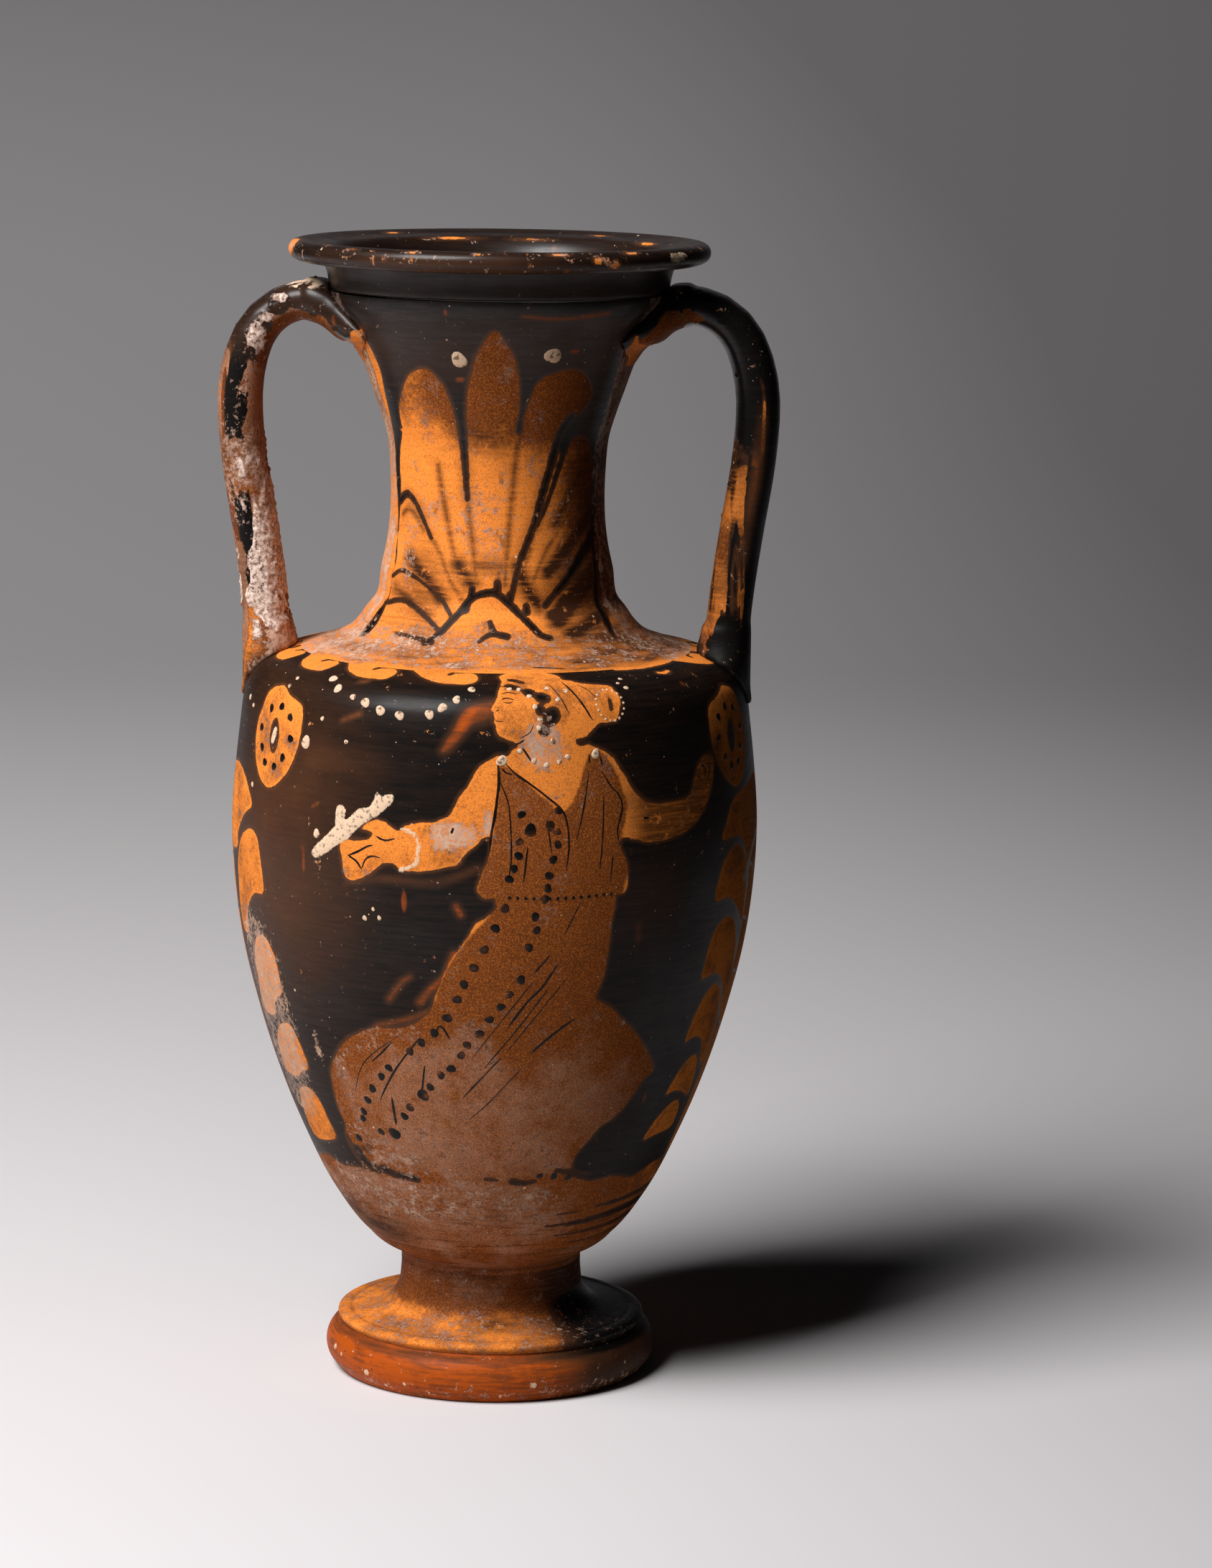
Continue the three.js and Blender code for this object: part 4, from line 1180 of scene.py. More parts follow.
def ware(name, tints):
    """Fired clay under worn black gloss, led by the painting's fields."""
    r = Recipe(name)
    clay, tone, thin, wash = r.field("clay"), r.field("tone"), r.field("thin"), r.field("wash")
    rub, white, crust, wheel = r.field("rub"), r.field("white"), r.field("crust"), r.field("wheel")
    grit = r.grain(0.45, 2)
    speckle = r.grain(1.2, 4, 0.72, shift=6.0)
    brush = r.grain(2.2, 3)
    flake = r.grain(3.4, 6, 0.72, shift=4.0)
    patch = r.grain(11, 5, 0.68, shift=9.0)
    cloud = r.grain(20, 4, 0.6)
    streak = r.grain(12, 5, 0.62, (1, 1, 12))

    edge = clay + (brush - 0.5) * 0.8 + (grit - 0.5) * 0.5
    reserved = edge.step(-0.12, 0.14)
    chipped = (flake + rub.least(0.7) * 0.15 + (patch - 0.5) * 0.3).step(0.735, 0.75)
    bare = reserved.most(chipped)

    # reserved clay: bright, dulled by a wash, or worn to grey; tone and wash also carry painted shade on the
    # woman's far arm and the foot's right side
    dull = (tone + (patch - 0.5) * 1.3 + (speckle - 0.5) * 0.7).step(0.25, 0.8)
    grey = tone - 1.0 + (patch - 0.5) * 1.5 + (flake - 0.5) * 0.7 + (cloud - 0.5) * 0.8
    grey = grey.step(0.1, 0.75)
    base = r.blend(dull, tints.clay, tints.dull_clay)
    base = r.blend(grey, base, tints.grey_clay)
    base = r.blend(grey * flake.step(0.53, 0.6) * 0.42, base, tints.dull_clay)
    marks = (wheel * 0.75 + 0.08) * streak.step(0.46, 0.72)
    base = r.blend(cloud.step(0.48, 0.85) * 0.4 + marks, base, tints.dark_clay)
    base = r.blend(grit.step(0.46, 0.72) * 0.45 + speckle.step(0.56, 0.8) * 0.2, base, tints.dark_clay)
    base = r.blend(grit.step(0.5, 0.36) * dull * 0.25, base, tints.clay)
    cluster = (patch + rub * 0.24 + (flake - 0.5) * 0.5).step(0.62, 0.8)
    base = r.blend(cluster * speckle.step(0.47, 0.56) * 0.72, base, tints.mottle)
    base = r.blend(cluster * flake.step(0.56, 0.6) * 0.5, base, tints.dark_clay)
    dusty = (rub - 0.95 + (patch - 0.5) * 1.3 + (flake - 0.5) * 0.9).step(0.0, 0.4)
    base = r.blend(dusty * (speckle.step(0.4, 0.6) * 0.5 + 0.25), base, tints.bloom)
    wet = wash * (streak.step(0.3, 0.6) * 0.4 + 0.6) * (1.0 - flake.step(0.56, 0.66) * 0.8)
    base = r.blend(wet, base, tints.wash)

    # black gloss: brown where thin, with an orange fringe beside the clay
    fringe = (1.0 - (edge * -1.0).step(0.0, cloud * 2.4 + 0.3)) * 0.8
    brown = (thin * (cloud * 1.1 + 0.25) + fringe + (streak - 0.56) * 0.45).least(1.0).most(0.0)
    coat = r.blend(brown, tints.gloss, tints.brown_gloss)
    red = (thin - 1.0) * (streak.step(0.38, 0.6) * 0.6 + 0.4) * (patch.step(0.35, 0.6) * 0.5 + 0.5)
    coat = r.blend(red, coat, tints.red_gloss)
    fleck = r.specks(9, 0.9, rub * 0.6, (1, 1, 0.28), 3.0) * cloud.step(0.35, 0.6)
    coat = r.blend(fleck * 0.6, coat, tints.red_gloss)
    base = r.blend(bare, coat, base)
    dust = r.specks(2.6, 0.2, rub * 0.35, shift=2.0).most(r.specks(8, 0.42, rub * 0.5, shift=7.0))
    base = r.blend(dust * 0.85, base, tints.cream)
    scuff = (flake * 0.5 + speckle * 0.5 + rub * 0.14).step(0.66, 0.69)
    base = r.blend(scuff * 0.55, base, r.blend(patch.step(0.4, 0.6), tints.mottle, tints.bloom))

    # added white and lime crust on top
    paint = (white + (brush - 0.5) * 1.1 + (grit - 0.5) * 0.6).step(-0.1, 0.25)
    base = r.blend(paint * (1.0 - speckle.step(0.54, 0.62) * 0.7), base, tints.cream)
    limed = (crust + (brush - 0.5) * 1.2 + (patch - 0.5) * 1.5 + (speckle - 0.5) * 0.8).step(0.5, 0.62)
    thick = (crust * 0.5 + patch - 0.5).step(0.15, 0.55)
    lime = r.blend(thick * speckle.step(0.62, 0.42), tints.mottle, tints.crust)
    base = r.blend(limed * (1.0 - speckle.step(0.52, 0.66) * 0.75), base, lime)

    matt = bare.most(limed).most(paint)
    rough = matt * 0.2 + 0.5 + (brush - 0.5) * 0.16 + (cloud - 0.5) * 0.2
    height = (1.0 - bare) * 0.3 + grit * 0.6 + (wheel * 0.5 + 0.1) * streak
    height = height + limed * speckle * 3.0 + paint * 0.4
    # the gloss shines most on the shoulder's rim and under the lip, and hardly in the hollow between
    up = r.axes()[2]
    lit = (up.step(0.05, 0.19) * 0.75 + up.step(0.27, 0.33) * 0.95 + 0.25) * (1.0 - wheel * 0.8)
    lit = lit * (up.step(0.222, 0.214) + up.step(0.245, 0.265) + 0.08)
    shine = (1.0 - matt) * (0.62 - cloud * 0.5) * (1.0 - red.least(1.0) * 0.7) * lit + wash * bare * 0.08
    return r.surface(base, rough, height, 0.5, 0.2, shine)


def slip_line(name, tints):
    """Thick glossy slip of the relief lines and dots, worn through here and there."""
    r = Recipe(name)
    grit = r.grain(0.5, 2)
    patch = r.grain(7, 4, 0.6, shift=3.0)
    base = r.blend(patch.step(0.45, 0.75) * 0.9, tints.gloss, tints.brown_gloss)
    base = r.blend(patch.step(0.6, 0.66) * grit.step(0.45, 0.55) * 0.8, base, tints.dull_clay)
    return r.surface(base, grit * 0.2 + 0.35, grit, 0.3, 0.1, 0.4)


def added_white(name, tints):
    """Chalky paint, rubbed at its crown."""
    r = Recipe(name)
    grit = r.grain(0.45, 3)
    patch = r.grain(1.6, 3, shift=5.0)
    base = r.blend(grit.step(0.45, 0.7) * 0.5, tints.cream, tints.mottle)
    base = r.blend(patch.step(0.56, 0.64) * 0.75, base, tints.brown_gloss)
    return r.surface(base, grit * 0.2 + 0.7, grit, 0.5, 0.15)


MATERIALS = {}


def material(kind, name):
    if name not in MATERIALS:
        MATERIALS[name] = kind(name, bpy.context.scene.amphora_colours)
    return MATERIALS[name]


# Operators

FINE_FRONT = ((-82, 164, 226), (82, 196, 120))
EVEN = ((0, 360, 240),)
NECK_FRONT = ((-90, 180, 200), (90, 180, 120))


class AMPHORA_OT_foot(bpy.types.Operator):
    """Turn the foot and the coil under the belly, with a sponged edge and worn gloss"""

    bl_idname = "amphora.foot"
    bl_label = "Turn Foot"

    edge_radius = 44  # mm, where the rounded edge begins
    shelf_height = 17  # mm, below the foot's top
    groove = (43.4, 0.9)  # its radius and half its width in mm
    groove_depth = 0.35
    # Chips in the red gloss, as (degree, height, size in mm)
    chips = (
        (-66, 9, 2.2), (-60, 8, 1.5), (-44, 5.5, 2.4), (-27, 4.5, 1.4), (-8, 5.5, 1.2), (19, 6, 2.4),
        (8, 2.5, 1.6), (-52, 10.5, 1.4), (-36, 2.6, 1.5), (-18, 2.4, 1.3), (28, 3, 1.4), (44, 5, 1.2),
        (14, 9, 1.1), (58, 8, 1.4), (-80, 6, 1.8), (130, 6, 2), (176, 8, 1.8), (-140, 5, 2.1), (95, 4, 1.5),
    )

    def execute(self, context):
        step = context.scene.amphora_sizes.lip_step / MM
        outline = fine(FOOT, step)
        inner = sponged(outline, 2)
        outline[1:-1] = inner[1:-1]
        outline[:, 1] = np.maximum(outline[:, 1], 0)
        shelf = (outline[:, 1] > self.shelf_height) & (outline[:, 0] > 40)
        outline[shelf, 1] -= self.groove_depth * near(outline[shelf, 0], *self.groove)
        foot = turned("foot_skin", outline, False, EVEN)
        self.paint(foot)
        finish(foot, material(ware, "foot_ware"), "fired_clay", "foot")
        belly = WALL[WALL[:, 0] > FOOT_COIL[:, 0].max()][:1]
        stem = FOOT_COIL[-1]
        rounded = [(36.6, 42.3), (34.2, 40.5), (31.8, 39.2), (29.8, 38), (28.4, 36.6)]
        outside = fine(np.vstack([belly, rounded, stem, stem - (0, 1.5)]), step)
        back = np.array([(20, 33.8), (20, 37), (24, 38.5), (30, 41.5), belly[0] + (-1.5, 1.5)])
        coil = turned("foot_coil", np.vstack([outside, back]), True, EVEN)
        self.paint(coil)
        finish(coil, material(ware, "foot_ware"), "worn_slip", "foot_luting")
        return {"FINISHED"}

    def paint(self, piece):
        """Red gloss on the rounded edge, rubbed clay on top, brown wash up the stem, and a right side
        darkened partly by black gloss and partly by painted shadow.
        """
        radius, turn, z = rounds_of(piece)
        # shade darkens the foot towards its right side: partly black gloss smeared on, partly painted shadow
        # of the belly. It turns clay to gloss, dulls the tone, adds wash and takes the red out of the edge
        shade = ease(turn + 0.5 * (radius - 38), 14, 58) * (1 - ease(turn, 150, 175))
        edge = (radius > self.edge_radius) & (z < 14.9)
        stem = ease(z, 20.5, 27)
        coil = z > 35.2
        under = (z < 0.3) | ((z < 25.1) & (radius < 41) & (radius * 0.86 + z < 37))
        clay = np.where(edge, -1.5, 2.2 - 4.2 * shade * (1 - ease(z, 24, 30)))
        rim_line = near(z, 13.6, 1.8) * (radius > 45)
        tone = np.where(edge, 0.9, 0.5 + 0.75 * stem + 0.5 * shade)
        smear = near(turn, 6, 22) * near(z, 20.6, 3)
        groove = near(radius, *self.groove) * (z > self.shelf_height) + 0.3 * near(z, 15.3, 1)
        wash = 0.55 * stem * (1 - 0.5 * near(turn, -60, 40)) + 0.9 * smear + 0.7 * shade + 0.4 * groove
        wash = wash + edge * (0.8 * near(turn, -42, 15) * near(z, 8.5, 6) + 0.4 * near(z, 1, 3))
        white = np.full(len(z), -REACH)
        for degree, height, size in self.chips:
            away = np.hypot(radians(1) * radius * degrees_from(turn, degree), z - height)
            white = np.maximum(white, np.where(radius > self.edge_radius, 0.5 * size - away, -REACH))
        note(
            piece,
            clay=np.where(under, 3.0, clay),
            tone=np.where(coil, 1.35, tone),
            thin=np.where(edge, 2.5 - 1.0 * rim_line - 1.7 * shade, 0.3 * (1 - shade)),
            wash=np.where(coil, 0.25 + 0.4 * near(z, 37, 1.2), wash),
            rub=np.where(edge, 0.45 + 0.5 * near(z, 3, 4), 0.75 - 0.45 * stem),
            white=white,
            wheel=np.where(edge, 0.5, np.where(coil, 0.9, 0.1)),
        )


class AMPHORA_OT_body(bpy.types.Operator):
    """Turn the body and paint the figure, the wave border, the rosettes and the fans on it"""

    bl_idname = "amphora.body"
    bl_label = "Turn and Paint Body"

    def execute(self, context):
        sizes = context.scene.amphora_sizes
        step = sizes.wall_step / MM
        low, low_step = 40, 1.6  # mm up the wall, where the brushwork is coarser
        plain = np.arange(0, low, low_step)
        painted = np.linspace(low, SHOULDER_END, round((SHOULDER_END - low) / step))
        outside = wall_at(np.r_[plain, painted])
        inside = fine(BODY[body_top + 1:], sizes.coarse_step / MM)
        body = turned("body_skin", np.vstack([BODY[:1], outside, inside]), False, FINE_FRONT)
        wall = Painting(body)
        paint_belly(wall)
        paint_shoulder(wall)
        wall.keep()
        self.raise_paint(body, wall)
        finish(body, material(ware, "painted_ware"), "black_gloss", "body")
        return {"FINISHED"}

    def raise_paint(self, body, wall):
        """Stands the added white a little out from the wall."""
        thick = 0.35
        lift = thick * ease(wall.white, -0.4, 0.8) * wall.outside
        move_to(body, places_of(body) + rows_of(body, "normal") * lift[:, None])


class AMPHORA_OT_neck(bpy.types.Operator):
    """Turn the neck and the coil at its foot and paint the palmette on them"""

    bl_idname = "amphora.neck"
    bl_label = "Turn and Paint Neck"

    def execute(self, context):
        sizes = context.scene.amphora_sizes
        step = 0.8 * sizes.wall_step / MM
        rows = wall_at(np.arange(SHOULDER_END, COIL_END + 0.1, step))
        behind = 2.0
        neck_foot = NECK[-1]
        back = np.array([
            rows[-1] - (behind, 0),
            (neck_foot[0] - behind, coil_outside[-1, 1]),
            neck_foot - (behind, 0),
            coil_outside[0] - (0, behind),
            rows[0] - (0, behind),
        ])
        coil = turned("neck_coil", np.vstack([rows, back]), True, NECK_FRONT)
        self.paint(coil)
        finish(coil, material(ware, "neck_ware"), "fired_clay", "neck_luting")
        outside = wall_at(np.arange(COIL_END, NECK_END + 0.3, step))
        peak = int(np.argmax(NECK[:, 1]))
        inside = fine(NECK[:peak + 1], 2 * step)[::-1]
        below = NECK[-1:]
        neck = turned("neck_skin", np.vstack([outside, inside, below, NECK[-2:-1]]), True, NECK_FRONT)
        self.paint(neck)
        finish(neck, material(ware, "neck_ware"), "black_gloss", "neck")
        return {"FINISHED"}

    def paint(self, piece):
        wall = Painting(piece)
        paint_neck(wall)
        wall.keep()


class AMPHORA_OT_mouth(bpy.types.Operator):
    """Turn the collar and the dished lip, with the gloss chipped at its edges"""

    bl_idname = "amphora.mouth"
    bl_label = "Turn Mouth"

    # Worn places as (degree, half width in degrees, radius, height, half size in mm, strength)
    bared = (
        (-80, 18, 63, 348, 3.4, 1.6), (-52, 5, 60.5, 350, 1.6, 1), (-40, 9, 62.5, 349.4, 1.1, 1),
        (-31.6, 1.6, 63.8, 346.5, 1.4, 2.2), (-63, 1.3, 63.8, 346, 1.3, 2.2), (31, 5, 63.7, 347.6, 1.7, 1.3),
        (20, 9, 62.6, 349.4, 1.2, 1.15), (-2, 5, 62.6, 349.4, 1, 1.1), (42, 8, 62.4, 349.4, 1.3, 1.15),
        (-158, 30, 51, 346.8, 1.7, 1.25), (122, 18, 51.5, 347.2, 1.8, 1.25), (12, 2, 63.8, 346.4, 0.9, 1.2),
        (-28, 2, 63.6, 347.2, 1.2, 1.3), (172, 24, 50.6, 346.8, 1.4, 1.15), (36, 4, 63.6, 346.2, 1.6, 1.5),
        (-140, 12, 57, 348.6, 1.6, 1.1), (150, 14, 56, 348.4, 1.5, 1.1), (-20, 5, 62.4, 349.5, 1.2, 1.2),
        (95, 30, 63, 349, 1.6, 0.8), (-120, 25, 63, 349, 1.6, 0.8),
    )
    scraped = (
        (60, 14, 63.6, 347.6, 2.6, 1), (48, 6, 53.2, 341.5, 2.6, 0.8), (-148, 26, 50, 347.2, 2, 0.75),
        (150, 20, 50.4, 347.4, 1.6, 0.7),
    )

    def execute(self, context):
        step = context.scene.amphora_sizes.lip_step / MM
        outline = sponged(fine(MOUTH, step, closed=True), 2)
        mouth = turned("mouth_skin", outline, True, EVEN)
        radius, turn, z = rounds_of(mouth)
        bared, scraped = (self.worn(spots, radius, turn, z) for spots in (self.bared, self.scraped))
        note(
            mouth,
            clay=-3 + 3.2 * np.minimum(bared, 1),
            tone=0.15,
            thin=0.6 * near(z, 346, 4) * near(turn, -12, 55) * (radius > 58) + 0.2,
            rub=0.3 + 0.35 * bared + 0.3 * near(radius, 63, 3),
            white=-REACH + (REACH + 0.15) * np.minimum(1, 1.3 * scraped),
            wheel=0.2,
        )
        finish(mouth, material(ware, "mouth_ware"), "black_gloss", "mouth_rim")
        return {"FINISHED"}

    def worn(self, spots, radius, turn, z):
        """How worn each vertex is by a list of places."""
        total = np.zeros(len(z))
        for degree, wide, spot_radius, height, size, strength in spots:
            round_it = near(degrees_from(turn, degree), 0, wide)
            across_it = near(np.hypot(radius - spot_radius, z - height), 0, 2 * size)
            total = np.maximum(total, strength * round_it * across_it)
        return total


class AMPHORA_OT_handles(bpy.types.Operator):
    """Blend each handle with its clay collars, then lay the gloss, the wear and the lime crust on it"""

    bl_idname = "amphora.handles"
    bl_label = "Pull Handles"

    overlap = 0.25 * MM  # each piece grows by this, so that the remesh joins them across the slip
    swell = 0.34 * MM  # puts back what the smoothing takes off

    def execute(self, context):
        sizes = context.scene.amphora_sizes
        for side, way in (("left", -1), ("right", 1)):
            nodes = [f"handle_{side}", f"handle_{side}_top_luting", f"handle_{side}_root_luting"]
            handle = join(f"handle_{side}_skin", [self.copy(node) for node in nodes])
            modify(handle, "REMESH", mode="VOXEL", voxel_size=sizes.handle_voxel)
            modify(handle, "SMOOTH", factor=0.5, iterations=45)
            modify(handle, "DISPLACE", strength=self.swell, mid_level=0)
            self.feather(handle)
            self.paint(handle, way, sizes.crust_height / MM)
            finish(handle, material(ware, "handle_ware"), "black_gloss", *nodes, angle=80)
        return {"FINISHED"}

    def copy(self, node):
        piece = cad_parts[node].copy()
        piece.data = piece.data.copy()
        piece.parent = None
        for key in list(piece.keys()):
            del piece[key]
        bpy.context.scene.collection.objects.link(piece)
        edit(piece, weld)
        modify(piece, "DISPLACE", strength=self.overlap, mid_level=0)
        return piece

    def feather(self, handle):
        """Thins the collar's lower end, so that it runs out smoothly on the neck."""
        places = places_of(handle)
        x, y, z = places.T
        radius = np.hypot(x, y)
        neck = neck_radius(z)
        tail = (z > 300) & (z < 325) & (radius < neck + 4)
        keep = ease(z, 310, 325)
        wanted = neck + (radius - neck) * keep - 0.5 * (1 - ease(z, 309, 316))
        scale = np.where(tail, wanted / radius, 1)
        move_to(handle, np.stack([x * scale, y * scale, z], -1))

    def along_and_across(self, reach, z):
        """For each vertex, mm along the strap from its widest point, and -1 to 1 from inside to outside."""
        middle_reach, middle_z = 57, 302  # mm, the arch's centre
        dx, dz = reach - middle_reach, z - middle_z
        leg = dz < 0
        angle = np.arctan2(dz, dx)
        along = np.where(leg, dz, np.degrees(angle))
        away = np.where(leg, dx, np.hypot(dx, dz))
        edges = np.arange(-90, 165, 3)
        bins = np.digitize(along, edges)
        spots = np.unique(bins)
        low, high = ([pick(away[bins == b]) for b in spots] for pick in (np.min, np.max))
        centres = [along[bins == b].mean() for b in spots]
        low, high = np.interp(along, centres, low), np.interp(along, centres, high)
        return along, 2 * (away - low) / (high - low) - 1

    def paint(self, handle, way, crust_height):
        """Fields by mm along the leg, degrees along the arch and share across the strap."""
        places, normals = places_of(handle), rows_of(handle, "normal")
        x, y, z = places.T
        reach = x * way
        along, across = self.along_and_across(reach, z)
        drift = np.array([noise.noise(Vector(place) / 9) for place in places])
        lumps = np.array([lump(place) for place in places])
        strand = np.array([noise.noise(Vector((a / 2.6, b / 2.6, c / 34))) for a, b, c in places])
        wobble = 0.5 * drift + 0.25 * lumps
        front = 1 - ease(y, 2, 6)
        leg = 1 - ease(along, 20, 45)
        arch = 1 - leg
        along = along + 14 * drift + 6 * lumps

        def spot(middle, half, side, wide):
            return near(along, middle, half) * near(across, side, wide)

        black = -3
        inner = 1 - ease(across + wobble, -0.62, -0.42)
        clay = black + 6 * inner
        wash = 0.3 + 0.25 * np.sin(z / 6 + y / 4)
        rub = np.full(len(x), 0.4)
        crust = np.zeros(len(x))
        if way < 0:
            # bare clay on the inner side, the outer ridge and a worn place, and black left in a blotch
            bared = (1 - ease(across + wobble, -0.35, -0.1)) * leg
            ridge = ease(across + 0.6 * strand, 0.56, 0.72) * leg
            worn = near(along, -20, 14) * (1 - ease(across, 0.45, 0.7))
            clay = np.maximum.reduce([clay, black + 6 * bared, black + 4.6 * ridge, black + 8 * worn])
            blotch = near(along + 9 * strand, -40, 14) * near(across + 0.8 * strand, 0.5, 0.6)
            clay = np.where(blotch > 0.3, black, clay)
            root = 1 - ease(z, 217, 225)
            below = (1 - ease(z + 8 * strand, 234, 246)) * (1 - ease(across + 0.5 * strand, 0.55, 0.8))
            clay = np.maximum(clay, black + 7 * np.maximum(root * (reach < 77), below))
            thin = 1.4 * ease(across, 0.5, 0.62) * leg * front + 0.4 * arch
            # lime crust low on the front, in spots up the leg and on the crown
            reached = -0.35 + 1.15 * ease(-along, 36, 60)
            upright = ease(-along, 26, 34) * (1 - ease(-along, 62, 68))
            lower = upright * (1 - ease(across + strand, reached, reached + 0.25))
            foot = 0.7 * near(along, -71, 5) * near(across, 0.3, 0.4)
            spots = spot(-23, 3.5, 0, 0.4) + spot(-31, 2.5, 0.1, 0.3)
            rise = spot(50, 14, -0.2, 0.85) + spot(71, 12, 0.45, 0.6)
            raised = np.maximum.reduce([1.7 * foot, spots, 1.3 * rise])
            wide_front = 1 - ease(y, 7, 11)
            inner_edge = 0.95 * near(along, -40, 44) * (1 - ease(across + strand, -0.5, -0.1))
            crust = np.maximum.reduce([1.7 * lower * wide_front, front * raised, inner_edge])
            inside = 1 - ease(across, -0.4, 0.3)
            rub = 0.6 + 0.6 * near(along, -22, 26) + 0.7 * below * inside
            tone = np.where(below > 0.5, 0.6 + 0.8 * inside, 1.75 - 0.5 * near(along, -25, 22))
        else:
            # bare clay on the inner side and in streaks down the front
            streaky = across + 1.1 * strand + 0.15 * lumps
            zone = near(along, -42, 40) * (1 - ease(streaky, -0.25, 0.1))
            clay = np.maximum(black + 6 * inner * near(along, -50, 50), black + 9 * zone)
            streak = near(along, -4, 34) * near(across + 0.5 * strand, 0.24, 0.2)
            thread = near(along, -48, 34) * near(across + 0.6 * strand, 0.24, 0.16)
            clay = np.maximum(clay, black + 4.2 * np.maximum(streak, thread))
            thin = 1.2 * near(along, -25, 40) * near(across, 0.2, 0.5) * leg
            tone = 0.5 + 0.3 * np.sin(z / 5)
            wash = wash + 0.25 * near(along, -42, 46) + 0.9 * ease(strand, 0.05, 0.3) * near(along, -42, 44)
        # reserved clay under the arch runs into the neck's strip
        under = arch * (1 - ease(across, -0.5, -0.3))
        if way > 0:
            side = 1 - ease(across + wobble, -0.05, 0.15)
            clay = np.maximum(clay, black + 6 * side * ease(along, 84, 92))
            under = np.maximum(under, side * ease(along, 84, 92))
        tone = np.where(under > 0.3, 0.95, tone)
        wall = Painting(handle)
        wall.reserve(STRIP_LEFT if way < 0 else STRIP_RIGHT)
        wall.reserve(*around(mirrored(STRIP_LEFT, -90)), *around(mirrored(STRIP_RIGHT, 90)))
        neck = neck_radius(z)
        tail = (z < 324) & (z > 300) & (np.hypot(x, y) < neck + 3) & (reach < 52)
        crown = near(along, 92, 26) * ease(across, 0.3, 0.8)
        grey = near(along, 90, 28) * ease(across + 0.3 * wobble, 0.3, 0.6) * (way < 0)
        note(
            handle,
            clay=np.where(tail, np.maximum(wall.clay, clay), clay),
            rub=np.maximum(rub, 1.3 * crown),
            thin=thin,
            tone=np.where(tail, 0.3, tone),
            wash=wash,
            crust=crust,
            white=-REACH + (REACH + 0.35) * grey,
            wheel=0.9 * (1 - ease(z, 224, 238)),
        )
        lift = crust_height * ease(crust + 0.9 * lumps, 0.4, 0.8) * (0.45 + 1.1 * lumps)
        move_to(handle, places + normals * lift[:, None])


def lump(place):
    """Soft noise, about -0.5 to 0.5, for the crust's thickness."""
    return 0.6 * noise.noise(Vector(place) / 2.6) + 0.4 * noise.noise(Vector(place) / 1.1)


class AMPHORA_OT_lines(bpy.types.Operator):
    """Lay the relief lines of thick slip on the figure as low ridges"""

    bl_idname = "amphora.lines"
    bl_label = "Draw Slip Lines"

    def execute(self, context):
        height = context.scene.amphora_sizes.line_height / MM
        rng = np.random.default_rng(7)
        strips = [self.strip(points, width, height, rng) for points, width in LINES]
        lines = join("slip_lines", strips)
        modify(lines, "SOLIDIFY", thickness=0.3 * MM, offset=-1)
        edit(lines, face_out)
        finish(lines, material(slip_line, "relief_slip"), "black_gloss", angle=60)
        return {"FINISHED"}

    def strip(self, points, width, height, rng):
        """One brush line: a grid laid on the wall, thicker in the middle, thin at its ends."""
        path = brushed(points, False, 8)
        degree = radians(1) * wall_at(path[:, 1])[:, 0]
        flat = np.stack([path[:, 0] * degree.mean(), path[:, 1]], -1)
        knots = run_of(flat)
        count = max(6, round(knots[-1]))
        choose()
        bpy.ops.mesh.primitive_grid_add(x_subdivisions=count, y_subdivisions=4, size=2)
        strip = bpy.context.object
        grid = places_of(strip) * MM
        along, side = (grid[:, 0] + 1) / 2, grid[:, 1]
        where = along * knots[-1]
        turn = np.interp(where, knots, path[:, 0])
        up = np.interp(where, knots, path[:, 1])
        little = 0.4
        ahead, behind = (
            np.stack([np.interp(where + by, knots, flat[:, k]) for k in (0, 1)], -1)
            for by in (little, -little)
        )
        way = ahead - behind
        way /= np.maximum(np.linalg.norm(way, axis=1, keepdims=True), 1e-6)
        jitter = np.interp(along, np.linspace(0, 1, 9), rng.uniform(0.75, 1.15, 9))
        taper = np.minimum(1, 0.35 + 4 * np.minimum(along, 1 - along))
        half = width / 2 * jitter * taper
        turn = turn - side * half * way[:, 1] / (radians(1) * wall_at(up)[:, 0])
        up = up + side * half * way[:, 0]
        sunk = 0.04
        lift = height * (1 - side**2) - sunk
        move_to(strip, on_wall(turn, up, lift) / MM)
        return strip


